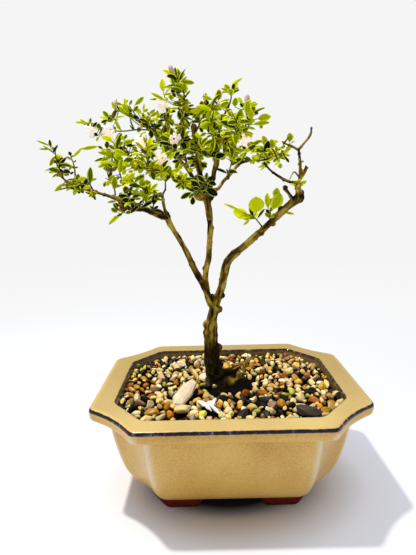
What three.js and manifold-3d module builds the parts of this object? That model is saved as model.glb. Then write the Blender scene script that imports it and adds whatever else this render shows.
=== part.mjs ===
// A serissa bonsai in its glazed stoneware pot. Millimetres, +Z up, feet on z = 0.
// The tree is laid out around the pot's centre line. At the end the whole group is shifted so that
// its origin lies under the middle of its bounding box.
import * as THREE from "three";
import { mergeVertices } from "three/addons/utils/BufferGeometryUtils.js";
import Module from "manifold-3d";

const wasm = await Module();
wasm.setup();

// ---------------------------------------------------------------- driving dimensions, mm
const GAP = 0.3; // air between pieces that rest on, or are cut by, one another
const FOOT_HEIGHT = 8;
const POT_HEIGHT = 64;
const FLOOR_TOP = 14;
const DRAIN = { radius: 7, x: 24 };
const SCREEN = { size: 22, thick: 0.8, holes: 3, hole: 4 };
const GRAVEL_TOP = 60.6;
const GRAVEL_BOTTOM = 54;
const SOIL_MOUND = { x: 1, y: 11, rx: 15, ry: 14, top: 59.4 };
const STEM_RADIUS = [0.5, 0.35];
// A blade's width, rise of its halves and droop of its tip as shares of its length, and its thickness.
const LEAF = { aspect: 0.44, fold: 0.3, curl: 0.22, thick: 0.55 };
// Leaf pairs sit on this stretch of the stem. A blade leans along the stem by a share that grows
// from its first to its last pair, and lean, twist and size vary from leaf to leaf.
const PAIRS = {
  first: 0.22,
  last: 0.98,
  lean: [0.35, 1.1],
  leanSpread: 0.4,
  twistSpread: 0.9,
  sizeSpread: 0.3,
};
const FLOWER = { across: 13.5, tube: 0.8, throat: 1.7, length: 8.5, lobes: 5, notch: 0.55 };
const BUD_RADIUS = 1.5;
const GRAVEL_BUMP = 2; // from the lowest to the highest stone top
const FOOT_BEVEL = 0.8;

// Outline of the pot at a height z: half sizes in x and y, half lengths of the straight front and
// side panels, and how far the notch between them bows towards the centre.
const OUTSIDE = [
  { z: 8, x: 50.6, y: 37, front: 39, side: 24, bow: 1.5 },
  { z: 11, x: 53.4, y: 39.5, front: 40, side: 25, bow: 2 },
  { z: 14, x: 56, y: 42, front: 40.8, side: 26, bow: 2.4 },
  { z: 20, x: 59.7, y: 45.3, front: 41.8, side: 27.2, bow: 2.8 },
  { z: 28, x: 62.2, y: 47.8, front: 42.8, side: 28.2, bow: 3 },
  { z: 36, x: 64.2, y: 49.7, front: 43.4, side: 29, bow: 3 },
  { z: 46, x: 66.2, y: 51.5, front: 44, side: 29.6, bow: 3 },
  { z: 55.2, x: 67, y: 52.3, front: 44.5, side: 30, bow: 3 },
  { z: 55.3, x: 73.2, y: 57.4, front: 48.2, side: 34.4, bow: 2.6 },
  { z: 57, x: 75.6, y: 59.6, front: 49.8, side: 36.2, bow: 2.5 },
  { z: 62.8, x: 76, y: 60, front: 50, side: 36.5, bow: 2.5 },
  { z: POT_HEIGHT, x: 75, y: 59, front: 49.6, side: 36, bow: 2.5 },
];
const INSIDE = [
  { z: FLOOR_TOP, x: 49, y: 35, front: 35, side: 19, bow: 0 },
  { z: 20, x: 53.5, y: 39, front: 36, side: 20, bow: 0 },
  { z: 36, x: 58.3, y: 43.6, front: 38.5, side: 22.5, bow: 0 },
  { z: GRAVEL_BOTTOM, x: 62, y: 47, front: 41, side: 24.5, bow: 0 },
  { z: 59.6, x: 63.3, y: 48.4, front: 45.6, side: 28, bow: 0 },
  { z: POT_HEIGHT + 1, x: 63.7, y: 48.8, front: 46.3, side: 28.6, bow: 0 },
];

// One bracket foot in plan, seen in the +x +y quarter: an L that follows the notch, at its sole and
// where it meets the body. The knee is a point inside both from which every corner is in view.
const FOOT_SOLE = [
  [18.5, 33], [37, 33], [46, 22], [46, 11.5], [40.5, 11.5], [40.5, 19], [34.5, 25.5], [18.5, 25.5],
];
const FOOT_TOP = [
  [14.2, 35.6], [38, 35.6], [48.6, 23.2], [48.6, 9], [40, 9], [40, 17.5], [34, 24], [14.2, 24],
];
const FOOT_KNEE = [41, 26.5];

// Wood: each limb is a route through points, with its radius at every point.
const LIMBS = {
  trunk: {
    sides: 10,
    step: 5,
    route: [[-5, 10, 45], [-6, 10, 53], [-8, 10, 62], [-9.5, 10, 75], [-10, 9, 90], [-8.5, 9, 101],
      [-7.5, 9, 107], [-7.5, 9, 113]],
    radii: [7.5, 7.2, 5.6, 4.7, 4.4, 3.3, 3.1, 3],
  },
  left: {
    sides: 7,
    route: [[-8, 9, 107], [-11.5, 8, 115], [-15, 7, 123], [-20, 5, 134], [-26, 2, 148], [-31, -1, 157],
      [-34, -3, 164]],
    radii: [2.6, 2.2, 2, 1.8, 1.5, 1.4, 1.9],
  },
  centre: {
    sides: 7,
    route: [[-12, 8, 117], [-12.5, 10, 127], [-10.5, 12, 137], [-9.5, 13, 148], [-9, 14, 159],
      [-10, 14, 170], [-11, 14, 178]],
    radii: [2, 1.9, 1.8, 1.7, 1.8, 2.2, 3.6],
  },
  right: {
    sides: 7,
    route: [[-6.5, 9, 109], [-4, 8, 116], [-2, 6, 123], [1, 3, 136], [8.5, -1, 144], [17, -5, 152],
      [23, -9, 158], [29, -12, 164], [34, -15, 169], [39, -17, 173]],
    radii: [2.7, 2.5, 2.3, 2.7, 2.1, 2, 1.9, 2, 2, 2.9],
  },
  far_left: {
    sides: 6,
    route: [[-34, -3, 163], [-39, -6, 165], [-45, -10, 168], [-53, -13, 169], [-59, -14, 174],
      [-67, -16, 177], [-73, -18, 179], [-81, -18, 181], [-86, -17, 185]],
    radii: [1.8, 1.5, 1.3, 1.3, 1.1, 0.8, 0.7, 0.7, 0.6],
  },
  knuckle: {
    route: [[-34, -3, 164], [-35.5, -1, 171], [-36, 1, 176], [-34.5, 3, 179]],
    radii: [1.2, 0.9, 0.8, 0.6],
  },
  knuckle_left: {
    route: [[-36, 1, 175], [-38, -4, 176], [-42, -9, 178], [-46, -14, 180]],
    radii: [0.7, 0.6, 0.6, 0.5],
  },
  far_right: {
    route: [[-11, 14, 177], [-4, 18, 179], [0, 22, 184], [6, 26, 190], [11, 29, 195], [18, 31, 197],
      [26, 30, 197], [33, 27, 199]],
    radii: [2, 1.3, 1.1, 1, 0.9, 0.9, 0.8, 0.6],
  },
  middle: {
    sides: 6,
    route: [[-10, 13, 178], [-7, 8, 184], [-6, 5, 189], [-4.5, 2, 194], [-5, 0, 200], [-5, -3, 205],
      [0, -8, 205], [4, -13, 205], [8, -16, 207], [10, -17, 209]],
    radii: [2, 1.5, 1.4, 1.9, 1.2, 1, 0.9, 0.8, 0.7, 0.6],
  },
  middle_top: { route: [[-5, -3, 204], [-5.5, -1, 210], [-6, 0, 215]], radii: [0.8, 0.7, 0.6] },
  crown: {
    route: [[-5, -1, 202], [-2, 8, 213], [1, 14, 222], [4, 17, 228]],
    radii: [0.8, 0.8, 0.7, 0.6],
  },
  cut_stub: {
    sides: 6,
    route: [[-12, 13, 178], [-14, 8, 187], [-15, 7, 195], [-15.5, 8, 203], [-17, 10, 210],
      [-17.5, 11, 216]],
    radii: [1.9, 1.4, 1.4, 1.6, 1.7, 1.5],
  },
  back: {
    route: [[-12, 15, 181], [-15, 22, 190], [-17, 28, 197], [-19, 32, 201]],
    radii: [1.2, 0.9, 0.7, 0.6],
  },
  back_left: {
    sides: 6,
    route: [[-12, 15, 178], [-18, 20, 185], [-23, 25, 193], [-29, 29, 200], [-34, 32, 205], [-37, 34, 213],
      [-41, 35, 217], [-47, 35, 219]],
    radii: [1.9, 1.3, 1.1, 1, 1, 0.9, 0.7, 0.6],
  },
  back_rise: { route: [[-37, 34, 212], [-34.5, 30, 221], [-33.5, 27, 226]], radii: [0.7, 0.6, 0.6] },
  leader: {
    route: [[-22, 25, 193], [-24, 20, 202], [-25.5, 17, 208], [-24, 14, 216], [-23.5, 11, 223],
      [-22.5, 10, 228]],
    radii: [0.9, 0.8, 0.7, 0.7, 0.6, 0.6],
  },
  front_left: {
    sides: 6,
    route: [[-11, 14, 177], [-17, 8, 178], [-22, 0, 180], [-26, -8, 185], [-32, -14, 188], [-42, -17, 189],
      [-47, -15, 193]],
    radii: [1.7, 1.3, 1.1, 1, 0.8, 0.7, 0.6],
  },
  right_rise: {
    route: [[38, -17, 173], [38.5, -16, 178], [39.5, -14, 183], [40, -12, 190], [39, -11, 199]],
    radii: [1.9, 1.1, 1, 0.9, 0.8],
  },
  right_stub: { route: [[35.5, -16, 171.5], [33, -18, 175], [30.5, -20, 177.6]], radii: [1.1, 0.8, 1.1] },
  right_return: {
    route: [[39, -15, 181], [33, -18, 181], [27, -20, 184], [23, -19, 187], [20, -17, 191]],
    radii: [0.9, 0.8, 0.8, 0.7, 0.6],
  },
  right_hook: {
    route: [[39, -11, 198], [42, -9, 201], [47, -5, 207], [47.5, -4, 211]],
    radii: [0.8, 0.7, 0.7, 0.5],
  },
  right_tine: { route: [[39, -15, 182], [41.5, -12, 185], [44, -10, 189]], radii: [1, 1.1, 0.9] },
  right_inner: { route: [[39, -11, 198], [34, -14, 200], [30.5, -15, 201]], radii: [0.7, 0.6, 0.5] },
};

// Roots that show on the gravel, then those that hold the tree in the soil.
const ROOTS = [
  { route: [[-4, 13, 60], [5, 18, 62], [12, 23, 62.2], [18, 29, 57]], radii: [3, 1.8, 1.4, 1] },
  { route: [[11, 22, 62.2], [11, 10, 62.2], [4, 0, 61.8], [-5, -7, 59]], radii: [1.3, 1.2, 1.1, 0.8] },
  { route: [[10, 20, 60], [15, 24, 65.5], [21, 27, 66.5], [26, 29, 58]], radii: [1.1, 1, 0.9, 0.8] },
  { route: [[-8, 9, 60], [-15, 4, 56], [-21, -2, 51]], radii: [3, 1.8, 1] },
  { route: [[-5, 10, 50], [-22, 2, 40], [-38, -8, 28]], radii: [4, 2.2, 1] },
  { route: [[-5, 10, 50], [12, -2, 40], [30, -14, 28]], radii: [4, 2.2, 1] },
  { route: [[-5, 10, 50], [5, 26, 42], [14, 32, 28]], radii: [3.6, 2, 1] },
  { route: [[-5, 10, 50], [-16, 24, 42], [-30, 30, 30]], radii: [3.6, 2, 1] },
  { route: [[-5, 10, 48], [-4, 2, 36], [0, -8, 24]], radii: [4, 2.4, 1.2] },
];

// Leafy shoots: the green stem's route, how many pairs of leaves it carries, and their length.
const SHOOTS = {
  left_tip: {
    stem: [[-86, -17, 185], [-89, -16, 191], [-90, -15, 197], [-90, -15, 201]],
    pairs: 6, leaf: 8.5,
  },
  left_curl: {
    stem: [[-80.5, -18, 181], [-80.5, -15, 187], [-81.5, -13, 193], [-83, -12, 197]],
    pairs: 5, leaf: 9,
  },
  left_low: { stem: [[-82, -18, 181], [-86, -20, 180], [-89, -22, 179]], pairs: 2, leaf: 8 },
  left_middle: { stem: [[-71, -17, 179], [-73, -15, 182], [-75, -13, 185]], pairs: 4, leaf: 8 },
  left_front: { stem: [[-77, -18, 180], [-76, -22, 183], [-77, -25, 184]], pairs: 3, leaf: 7.5 },
  upright_side: { stem: [[-60, -14, 174], [-61, -11, 180], [-64, -8, 184]], pairs: 4, leaf: 8 },
  upright: {
    stem: [[-55, -13, 170], [-55, -13, 178], [-57, -11, 186], [-59, -9, 193], [-59.5, -8, 200],
      [-61, -7, 205]],
    pairs: 9, leaf: 9,
  },
  flowering: {
    stem: [[-42, 35, 217], [-52, 30, 217], [-63, 22, 215], [-71, 15, 216], [-76, 11, 218]],
    pairs: 8, leaf: 8.5,
  },
  drooping: { stem: [[-54, -13, 169], [-56, -16, 167], [-59, -18, 164]], pairs: 4, leaf: 8.5 },
  spur_low: { stem: [[-45, -10, 168], [-48, -14, 171], [-50, -17, 173]], pairs: 4, leaf: 7.5 },
  spur_middle: { stem: [[-45, -10, 168], [-44.5, -8, 173], [-45, -6, 177]], pairs: 4, leaf: 7.5 },
  spur_inner: { stem: [[-41.5, -7, 166], [-41, -3, 171], [-40.5, -1, 176]], pairs: 4, leaf: 7.5 },
  inner_left: { stem: [[-34.5, 3, 179], [-34.5, 4, 184], [-35, 6, 189]], pairs: 5, leaf: 9 },
  inner_low: { stem: [[-46, -14, 180], [-48, -18, 182], [-51, -21, 184]], pairs: 5, leaf: 8.5 },
  bud_shoot: {
    stem: [[-47, 35, 219], [-53, 32, 223], [-59, 28, 226], [-65, 24, 228]],
    pairs: 7, leaf: 8.5,
  },
  top: { stem: [[-22.5, 10, 228], [-22.5, 9, 233], [-25, 8, 238], [-27, 6, 241]], pairs: 7, leaf: 9.5 },
  top_left: { stem: [[-33.5, 27, 226], [-34, 24, 231], [-35, 20, 236]], pairs: 6, leaf: 8.5 },
  front_tip: { stem: [[-47, -15, 193], [-51, -13, 196], [-55, -11, 198]], pairs: 4, leaf: 8.5 },
  front_up: { stem: [[-42, -17, 189], [-41, -20, 194], [-41, -22, 198]], pairs: 5, leaf: 8.5 },
  front_knee: { stem: [[-37, -15.5, 188.5], [-36.5, -12, 192], [-34, -9, 196]], pairs: 4, leaf: 8 },
  back_front: { stem: [[-29, 29, 200], [-30.5, 22, 205], [-30.5, 17, 209]], pairs: 5, leaf: 8.5 },
  back_far: { stem: [[-36, 33, 209], [-42, 40, 210], [-48, 45, 212]], pairs: 5, leaf: 8.5 },
  back_tip: { stem: [[-19, 32, 201], [-20.5, 36, 206], [-21.5, 39, 212]], pairs: 5, leaf: 8.5 },
  sprout: { stem: [[-17, 10, 210], [-14, 15, 217], [-11.5, 18, 224], [-10, 20, 230]], pairs: 6, leaf: 8.5 },
  heart: { stem: [[-11, 12, 179], [-11.5, 3, 183], [-12.5, -3, 186]], pairs: 6, leaf: 10 },
  middle_up: { stem: [[-6, 0, 215], [-6.5, 2, 221], [-9.5, 4, 225]], pairs: 6, leaf: 9 },
  crown: { stem: [[4, 17, 228], [5.5, 19, 234], [6, 20, 240]], pairs: 6, leaf: 9 },
  middle_tip: { stem: [[10, -17, 209], [11, -18, 214], [11, -18, 218]], pairs: 6, leaf: 9 },
  middle_elbow: { stem: [[4, -13, 205], [5, -20, 208], [5.5, -26, 210]], pairs: 5, leaf: 8.5 },
  middle_right: { stem: [[-4.5, 2, 195], [0, -4, 199], [4, -10, 201]], pairs: 5, leaf: 8.5 },
  middle_left: { stem: [[-4.5, 2, 195], [-9.5, -7, 198], [-13, -13, 201]], pairs: 5, leaf: 8.5 },
  far_right_tip: { stem: [[33, 27, 199], [38, 24, 201], [40, 22, 204]], pairs: 5, leaf: 8.5 },
  far_right_up: { stem: [[11, 29, 195], [15, 34, 202], [19, 38, 207]], pairs: 5, leaf: 8.5 },
  far_right_low: { stem: [[2, 23, 186], [4, 18, 192], [5, 14, 197]], pairs: 5, leaf: 8.5 },
  far_right_back: { stem: [[26, 30, 197], [28, 36, 202], [30, 41, 208]], pairs: 5, leaf: 8.5 },
  lime_left: { stem: [[21, -7.5, 156], [17.5, -12, 160], [14, -15, 164]], pairs: 4, leaf: 10 },
  lime_right: { stem: [[24, -9.5, 159], [24, -12, 165], [24.5, -13, 170]], pairs: 4, leaf: 10.5 },
  right_low: { stem: [[39.5, -14, 183], [35, -20, 186], [32, -24, 182]], pairs: 2, leaf: 7 },
  right_tip: { stem: [[30.5, -15, 201], [32, -17, 203], [33, -19, 205]], pairs: 2, leaf: 7.5 },
};

// Open flowers and closed buds: where the tube starts, and the way it points.
const FLOWERS = {
  flower_face: { at: [-65, 20.5, 215], to: [-0.5, -0.8, -0.35], size: 0.95 },
  flower_side: { at: [-73, 13.5, 216.5], to: [-0.75, -0.45, -0.45], size: 0.75 },
  flower_top_left: { at: [-34, 24, 231], to: [-0.35, -0.8, -0.35], size: 0.65 },
  flower_trumpet: { at: [-41, -22, 198.5], to: [-0.45, -0.35, 0.8], size: 0.8 },
  flower_knee: { at: [-34, -9, 196], to: [-0.08, -0.95, -0.25], size: 0.75 },
  flower_back: { at: [-30.5, 17, 209], to: [0.3, -0.8, -0.1], size: 0.65 },
  flower_right: { at: [8.5, -16.2, 207], to: [0.25, -0.45, -0.85], size: 0.72 },
};
const BUDS = {
  bud_left: { at: [-65, 24, 228], to: [0.1, 0, 1], length: 5 },
  bud_top: { at: [-27, 6, 241], to: [-0.45, 0, 0.9], length: 6.5 },
  bud_right: { at: [11, -18, 218], to: [0, 0, 1], length: 7 },
  bud_crown: { at: [-10, 20, 230], to: [-0.1, -0.2, 0.9], length: 5 },
};

// Stones that stand out of the gravel: centre, half sizes, and turn about x, y and z in degrees.
const STONES = {
  shard_stone: {
    at: [-25.6, -20.2, 64], half: [11.8, 4.9, 1.9], turn: [20, -14, 45],
    detail: 0, colour: 0xd9c8a4,
  },
  cream_stone: {
    at: [-27, -35.5, 62.3], half: [4.2, 3.4, 2.8], turn: [0, 8, 30],
    detail: 1, colour: 0xe2d3ae,
  },
  white_stone: {
    at: [-12, -34.5, 62.4], half: [7.5, 3.2, 2.6], turn: [15, 0, -55],
    detail: 0, colour: 0xe9e3d4,
  },
  dark_stone: {
    at: [40, -39.5, 61.9], half: [6.6, 3.8, 2.6], turn: [0, 5, -12],
    detail: 1, colour: 0x2c221d,
  },
};

const finish = (color, roughness) => new THREE.MeshStandardMaterial({ color, roughness, metalness: 0 });
const GLAZED_STONEWARE = finish(0xbd9e5e, 0.45);
const BARK = finish(0x5a4526, 0.8);
const LEAF_GREEN = finish(0x6f9a22, 0.5);
const PETAL_WHITE = finish(0xf4ecea, 0.6);
const BUD_PINK = finish(0xe3c4be, 0.6);
const DARK_SOIL = finish(0x241a12, 0.95);
const MIXED_GRAVEL = finish(0xb59f78, 0.8);
const SCREEN_PLASTIC = finish(0x2b2b2b, 0.6);

// ---------------------------------------------------------------- solids
// A closed geometry as a solid whose faces point outwards.
function solid(geometry) {
  const bare = geometry.index ? geometry.toNonIndexed() : geometry.clone();
  bare.deleteAttribute("normal");
  bare.deleteAttribute("uv");
  const merged = mergeVertices(bare, 1e-4);
  const corners = merged.index.array;
  const turned = (outwards) => {
    const triangles = [];
    for (let i = 0; i < corners.length; i += 3) {
      const [a, b, c] = corners.slice(i, i + 3);
      if (a === b || b === c || c === a) continue;
      triangles.push(...(outwards ? [a, b, c] : [a, c, b]));
    }
    return new wasm.Manifold(
      new wasm.Mesh({
        numProp: 3,
        vertProperties: merged.attributes.position.array,
        triVerts: new Uint32Array(triangles),
      }),
    );
  };
  const made = turned(true);
  return made.volume() > 0 ? made : turned(false);
}

function geometryOf(body) {
  const mesh = body.getMesh();
  const geometry = new THREE.BufferGeometry();
  geometry.setAttribute("position", new THREE.BufferAttribute(mesh.vertProperties, 3));
  geometry.setIndex(new THREE.BufferAttribute(mesh.triVerts, 1));
  geometry.computeVertexNormals();
  return geometry;
}

// What is left of a piece once its neighbours are cut away: its largest part, in one body.
function largest(body) {
  const parts = body.decompose();
  return parts.reduce((best, part) => (part.volume() > best.volume() ? part : best), parts[0]);
}

// An irregular but repeatable number from 0 to 1.
function scatter(n) {
  const wave = Math.sin(n * 12.9898 + 4.1414) * 43758.5453;
  return wave - Math.floor(wave);
}

const vector = (point) => new THREE.Vector3(...point);

// A skin over a stack of rings: pointAt(level, k) is a point of a ring, centreAt(level) its middle.
function loft(rings, count, pointAt, centreAt) {
  const skin = new THREE.CylinderGeometry(1, 1, 1, count, rings - 1);
  const place = skin.getAttribute("position");
  const p = new THREE.Vector3();
  for (let i = 0; i < place.count; i++) {
    p.fromBufferAttribute(place, i);
    const level = Math.round((p.y + 0.5) * (rings - 1));
    const turn = Math.round((Math.atan2(p.x, p.z) / (2 * Math.PI)) * count);
    const k = ((turn % count) + count) % count;
    const target = Math.hypot(p.x, p.z) < 0.5 ? centreAt(level) : pointAt(level, k);
    place.setXYZ(i, target.x, target.y, target.z);
  }
  return solid(skin);
}

// A round limb along a smooth route, thick as its radii say at each of the route's points.
function limb({ route, radii, sides = 5, step = 6 }, swell = 0) {
  const curve = new THREE.CatmullRomCurve3(route.map(vector));
  const steps = Math.max(2, Math.round(curve.getLength() / step));
  const frames = curve.computeFrenetFrames(steps);
  const radiusAt = (level) => {
    const t = curve.getUtoTmapping(level / steps) * (radii.length - 1);
    const i = Math.min(Math.floor(t), radii.length - 2);
    return THREE.MathUtils.lerp(radii[i], radii[i + 1], t - i) + swell;
  };
  // the ends of a swollen limb stand out as far as its sides
  const centreAt = (level) => {
    const centre = curve.getPointAt(level / steps);
    if (level === 0) centre.addScaledVector(frames.tangents[0], -swell);
    if (level === steps) centre.addScaledVector(frames.tangents[steps], swell);
    return centre;
  };
  const pointAt = (level, k) => {
    const angle = (2 * Math.PI * k) / sides;
    return centreAt(level)
      .addScaledVector(frames.binormals[level], radiusAt(level) * Math.cos(angle))
      .addScaledVector(frames.normals[level], radiusAt(level) * Math.sin(angle));
  };
  return loft(steps + 1, sides, pointAt, centreAt);
}

// ---------------------------------------------------------------- pot, screens, soil and gravel
// One turn of the pot's outline, counter-clockwise from the front panel's right end.
function outline({ x, y, front, side, bow }, inset = 0, notchSteps = 5, panelSteps = 1) {
  const quarter = [];
  for (let i = 0; i <= notchSteps; i++) {
    const s = i / notchSteps;
    const dip = bow * Math.SQRT1_2 * 4 * s * (1 - s);
    quarter.push(new THREE.Vector2(front + (x - front) * s - dip, y - (y - side) * s - dip));
  }
  const corner = (sx, sy, points) => points.map((p) => new THREE.Vector2(p.x * sx, p.y * sy));
  const back = [...quarter].reverse();
  const corners = [corner(1, -1, quarter), corner(1, 1, back), corner(-1, 1, quarter), corner(-1, -1, back)];
  const turn = [];
  corners.forEach((points, i) => {
    turn.push(...points);
    const next = corners[(i + 1) % 4][0];
    for (let j = 1; j < panelSteps; j++) turn.push(points.at(-1).clone().lerp(next, j / panelSteps));
  });
  return turn.map((p) => p.multiplyScalar(1 - inset / Math.min(x, y)));
}

function stack(levels, inset = 0) {
  const rings = levels.map((level) => outline(level, inset));
  const pointAt = (level, k) => new THREE.Vector3(rings[level][k].x, rings[level][k].y, levels[level].z);
  const centreAt = (level) => new THREE.Vector3(0, 0, levels[level].z);
  return loft(levels.length, rings[0].length, pointAt, centreAt);
}

// The inside wall's outline at any height, between the levels given above.
function insideAt(z) {
  const above = INSIDE.findIndex((level) => level.z >= z) || 1;
  const [low, high] = [INSIDE[above - 1], INSIDE[above]];
  const share = (z - low.z) / (high.z - low.z);
  const mixed = { z };
  for (const key of ["x", "y", "front", "side", "bow"]) {
    mixed[key] = THREE.MathUtils.lerp(low[key], high[key], share);
  }
  return mixed;
}

function upright(radius, bottom, top, x = 0, y = 0, sides = 16) {
  const cylinder = new THREE.CylinderGeometry(radius, radius, top - bottom, sides);
  return solid(cylinder.rotateX(Math.PI / 2).translate(x, y, (top + bottom) / 2));
}

// A foot flares from its sole, which has a small bevel all round, up into the body.
function foot(signX, signY) {
  const [kneeX, kneeY] = FOOT_KNEE;
  const levels = [
    { z: 0, plan: FOOT_SOLE, share: 0.93 },
    { z: FOOT_BEVEL, plan: FOOT_SOLE, share: 1 },
    { z: FOOT_HEIGHT + 1, plan: FOOT_TOP, share: 1 },
  ];
  // the corners run counter-clockwise in every quarter
  const corner = (plan, k) => plan[signX * signY > 0 ? plan.length - 1 - k : k];
  const at = (x, y, z) => new THREE.Vector3(x * signX, y * signY, z);
  const pointAt = (level, k) => {
    const { z, plan, share } = levels[level];
    const [x, y] = corner(plan, k);
    return at(THREE.MathUtils.lerp(kneeX, x, share), THREE.MathUtils.lerp(kneeY, y, share), z);
  };
  return loft(levels.length, FOOT_SOLE.length, pointAt, (level) => at(kneeX, kneeY, levels[level].z));
}

function pot() {
  let body = stack(OUTSIDE);
  for (const [sx, sy] of [[1, 1], [1, -1], [-1, 1], [-1, -1]]) body = body.add(foot(sx, sy));
  body = body.subtract(stack(INSIDE));
  for (const side of [-1, 1]) {
    body = body.subtract(upright(DRAIN.radius, 0, FLOOR_TOP + 1, side * DRAIN.x));
  }
  return body;
}

function block(width, depth, bottom, top, x, y) {
  return solid(new THREE.BoxGeometry(width, depth, top - bottom).translate(x, y, (top + bottom) / 2));
}

function drainScreen(side) {
  const { size, thick, holes, hole } = SCREEN;
  const bottom = FLOOR_TOP + GAP;
  let plate = block(size, size, bottom, bottom + thick, side * DRAIN.x, 0);
  const pitch = size / (holes + 1);
  for (let i = 1; i <= holes; i++) {
    for (let j = 1; j <= holes; j++) {
      const [x, y] = [side * DRAIN.x - size / 2 + i * pitch, -size / 2 + j * pitch];
      plate = plate.subtract(block(hole, hole, bottom - 1, bottom + thick + 1, x, y));
    }
  }
  return plate;
}

function mound(swell) {
  const { x, y, rx, ry, top } = SOIL_MOUND;
  const dome = new THREE.CylinderGeometry(0.82, 1, 1, 14);
  dome.rotateX(Math.PI / 2).translate(0, 0, 0.5);
  const bottom = GRAVEL_BOTTOM - 1;
  dome.scale(rx + swell, ry + swell, top - bottom + swell * 4).translate(x, y, bottom);
  return solid(dome);
}

function soil(woodRoom) {
  const levels = [FLOOR_TOP + GAP, 20, 36, GRAVEL_BOTTOM - GAP].map(insideAt);
  let body = stack(levels, 2 * GAP).add(mound(0));
  for (const side of [-1, 1]) {
    const room = SCREEN.size + 2 * GAP;
    body = body.subtract(block(room, room, FLOOR_TOP, FLOOR_TOP + SCREEN.thick + 2 * GAP, side * DRAIN.x, 0));
  }
  return largest(body.subtract(woodRoom));
}

// The gravel as one bed: a disc of rings, spread to the inside wall, with a stony top.
function gravel(woodRoom, stoneRooms) {
  const rings = 8;
  const profile = [];
  for (let i = 0; i <= rings; i++) profile.push(new THREE.Vector2(i / rings, 1));
  profile.push(new THREE.Vector2(1, 0), new THREE.Vector2(0, 0));
  const panelSteps = 5;
  const count = outline(insideAt(GRAVEL_TOP), 0, 3, panelSteps).length;
  const disc = new THREE.LatheGeometry(profile, count);
  const place = disc.getAttribute("position");
  for (let i = 0; i < place.count; i++) {
    const [px, py, pz] = [place.getX(i), place.getY(i), place.getZ(i)];
    const radius = Math.hypot(px, pz);
    const turn = Math.round((Math.atan2(px, pz) / (2 * Math.PI)) * count);
    const k = ((turn % count) + count) % count;
    const ring = Math.round(radius * rings);
    const top = py > 0.5;
    const bump = top ? (scatter(ring * count + (ring ? k : 0)) - 0.5) * GRAVEL_BUMP : 0;
    const wall = outline(insideAt(top ? GRAVEL_TOP : GRAVEL_BOTTOM), 3 * GAP, 3, panelSteps)[k];
    place.setXYZ(i, wall.x * radius, wall.y * radius, (top ? GRAVEL_TOP : GRAVEL_BOTTOM) + bump);
  }
  let bed = solid(disc).subtract(mound(GAP)).subtract(woodRoom);
  for (const room of stoneRooms) bed = bed.subtract(room);
  return largest(bed);
}

// A broken or worn stone: a many-sided ball, pushed in and out at its corners.
function stone({ at, half, turn, detail }, swell = 0) {
  const faceted = new THREE.IcosahedronGeometry(1, detail).deleteAttribute("normal");
  const ball = mergeVertices(faceted.deleteAttribute("uv"));
  const place = ball.getAttribute("position");
  for (let i = 0; i < place.count; i++) {
    const push = 0.86 + 0.28 * scatter(i + half[0] * 7);
    place.setXYZ(i, place.getX(i) * push, place.getY(i) * push, place.getZ(i) * push);
  }
  ball.scale(...half.map((size) => size + swell));
  const [rx, ry, rz] = turn.map(THREE.MathUtils.degToRad);
  return solid(ball.rotateX(rx).rotateY(ry).rotateZ(rz).translate(...at));
}

// ---------------------------------------------------------------- shoots, leaves and flowers
function stem(points, swell = 0) {
  const radii = points.map((_, i) => THREE.MathUtils.lerp(...STEM_RADIUS, i / (points.length - 1)));
  return limb({ route: points, radii, sides: 3, step: 7 }, swell);
}

// One leaf: a ball with three long edges, flattened, folded along its midrib and curled down.
function leaf(base, along, normal, length, swell = 0) {
  const blade = new THREE.SphereGeometry(1, 3, 2);
  const place = blade.getAttribute("position");
  const y = along.clone().normalize();
  const x = new THREE.Vector3().crossVectors(y, normal).normalize();
  const z = new THREE.Vector3().crossVectors(x, y);
  const frame = new THREE.Matrix4().makeBasis(x, y, z).setPosition(base);
  const half = (length * LEAF.aspect) / 2 + swell;
  for (let i = 0; i < place.count; i++) {
    const [px, py, pz] = [place.getZ(i), place.getY(i), place.getX(i)];
    const t = (1 - py) / 2;
    const lift = Math.abs(px) * half * LEAF.fold - t * t * length * LEAF.curl;
    place.setXYZ(i, px * half, t * (length + swell), pz * (LEAF.thick / 2 + swell) + lift);
  }
  return solid(blade.applyMatrix4(frame));
}

// The places of a shoot's leaves: pairs set crosswise along the stem, the last two at its tip.
function leafPlaces({ stem: points, pairs, leaf: leafLength }, seed) {
  const curve = new THREE.CatmullRomCurve3(points.map(vector));
  const places = [];
  for (let pair = 0; pair < pairs; pair++) {
    const share = pair / (pairs - 1);
    const u = THREE.MathUtils.lerp(PAIRS.first, PAIRS.last, share);
    const tangent = curve.getTangentAt(u);
    const across = new THREE.Vector3(0, 0, 1).cross(tangent);
    if (across.lengthSq() < 0.05) across.set(1, 0, 0);
    across.normalize();
    for (const side of [0, 1]) {
      const n = seed * 97 + pair * 11 + side * 5;
      const twist = side * Math.PI + pair * (Math.PI / 2) + (scatter(n) - 0.5) * PAIRS.twistSpread;
      const out = across.clone().applyAxisAngle(tangent, twist);
      const lean = THREE.MathUtils.lerp(...PAIRS.lean, share) + (scatter(n + 1) - 0.5) * PAIRS.leanSpread;
      const along = out.clone().addScaledVector(tangent, lean);
      const normal = tangent.clone().addScaledVector(out, -lean);
      const fullest = 0.66 + 0.37 * Math.sin(Math.PI * (0.15 + 0.7 * u)); // largest at mid-shoot
      const size = leafLength * fullest * (1 + (scatter(n + 2) - 0.5) * PAIRS.sizeSpread);
      places.push({ base: curve.getPointAt(u), along, normal, size });
    }
  }
  return places;
}

// A matrix that stands a shape on a point, with its own +Y along a direction.
function standing(at, to) {
  const own = new THREE.Vector3(0, 1, 0);
  const turn = new THREE.Quaternion().setFromUnitVectors(own, vector(to).normalize());
  return new THREE.Matrix4().compose(vector(at), turn, new THREE.Vector3(1, 1, 1));
}

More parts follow.
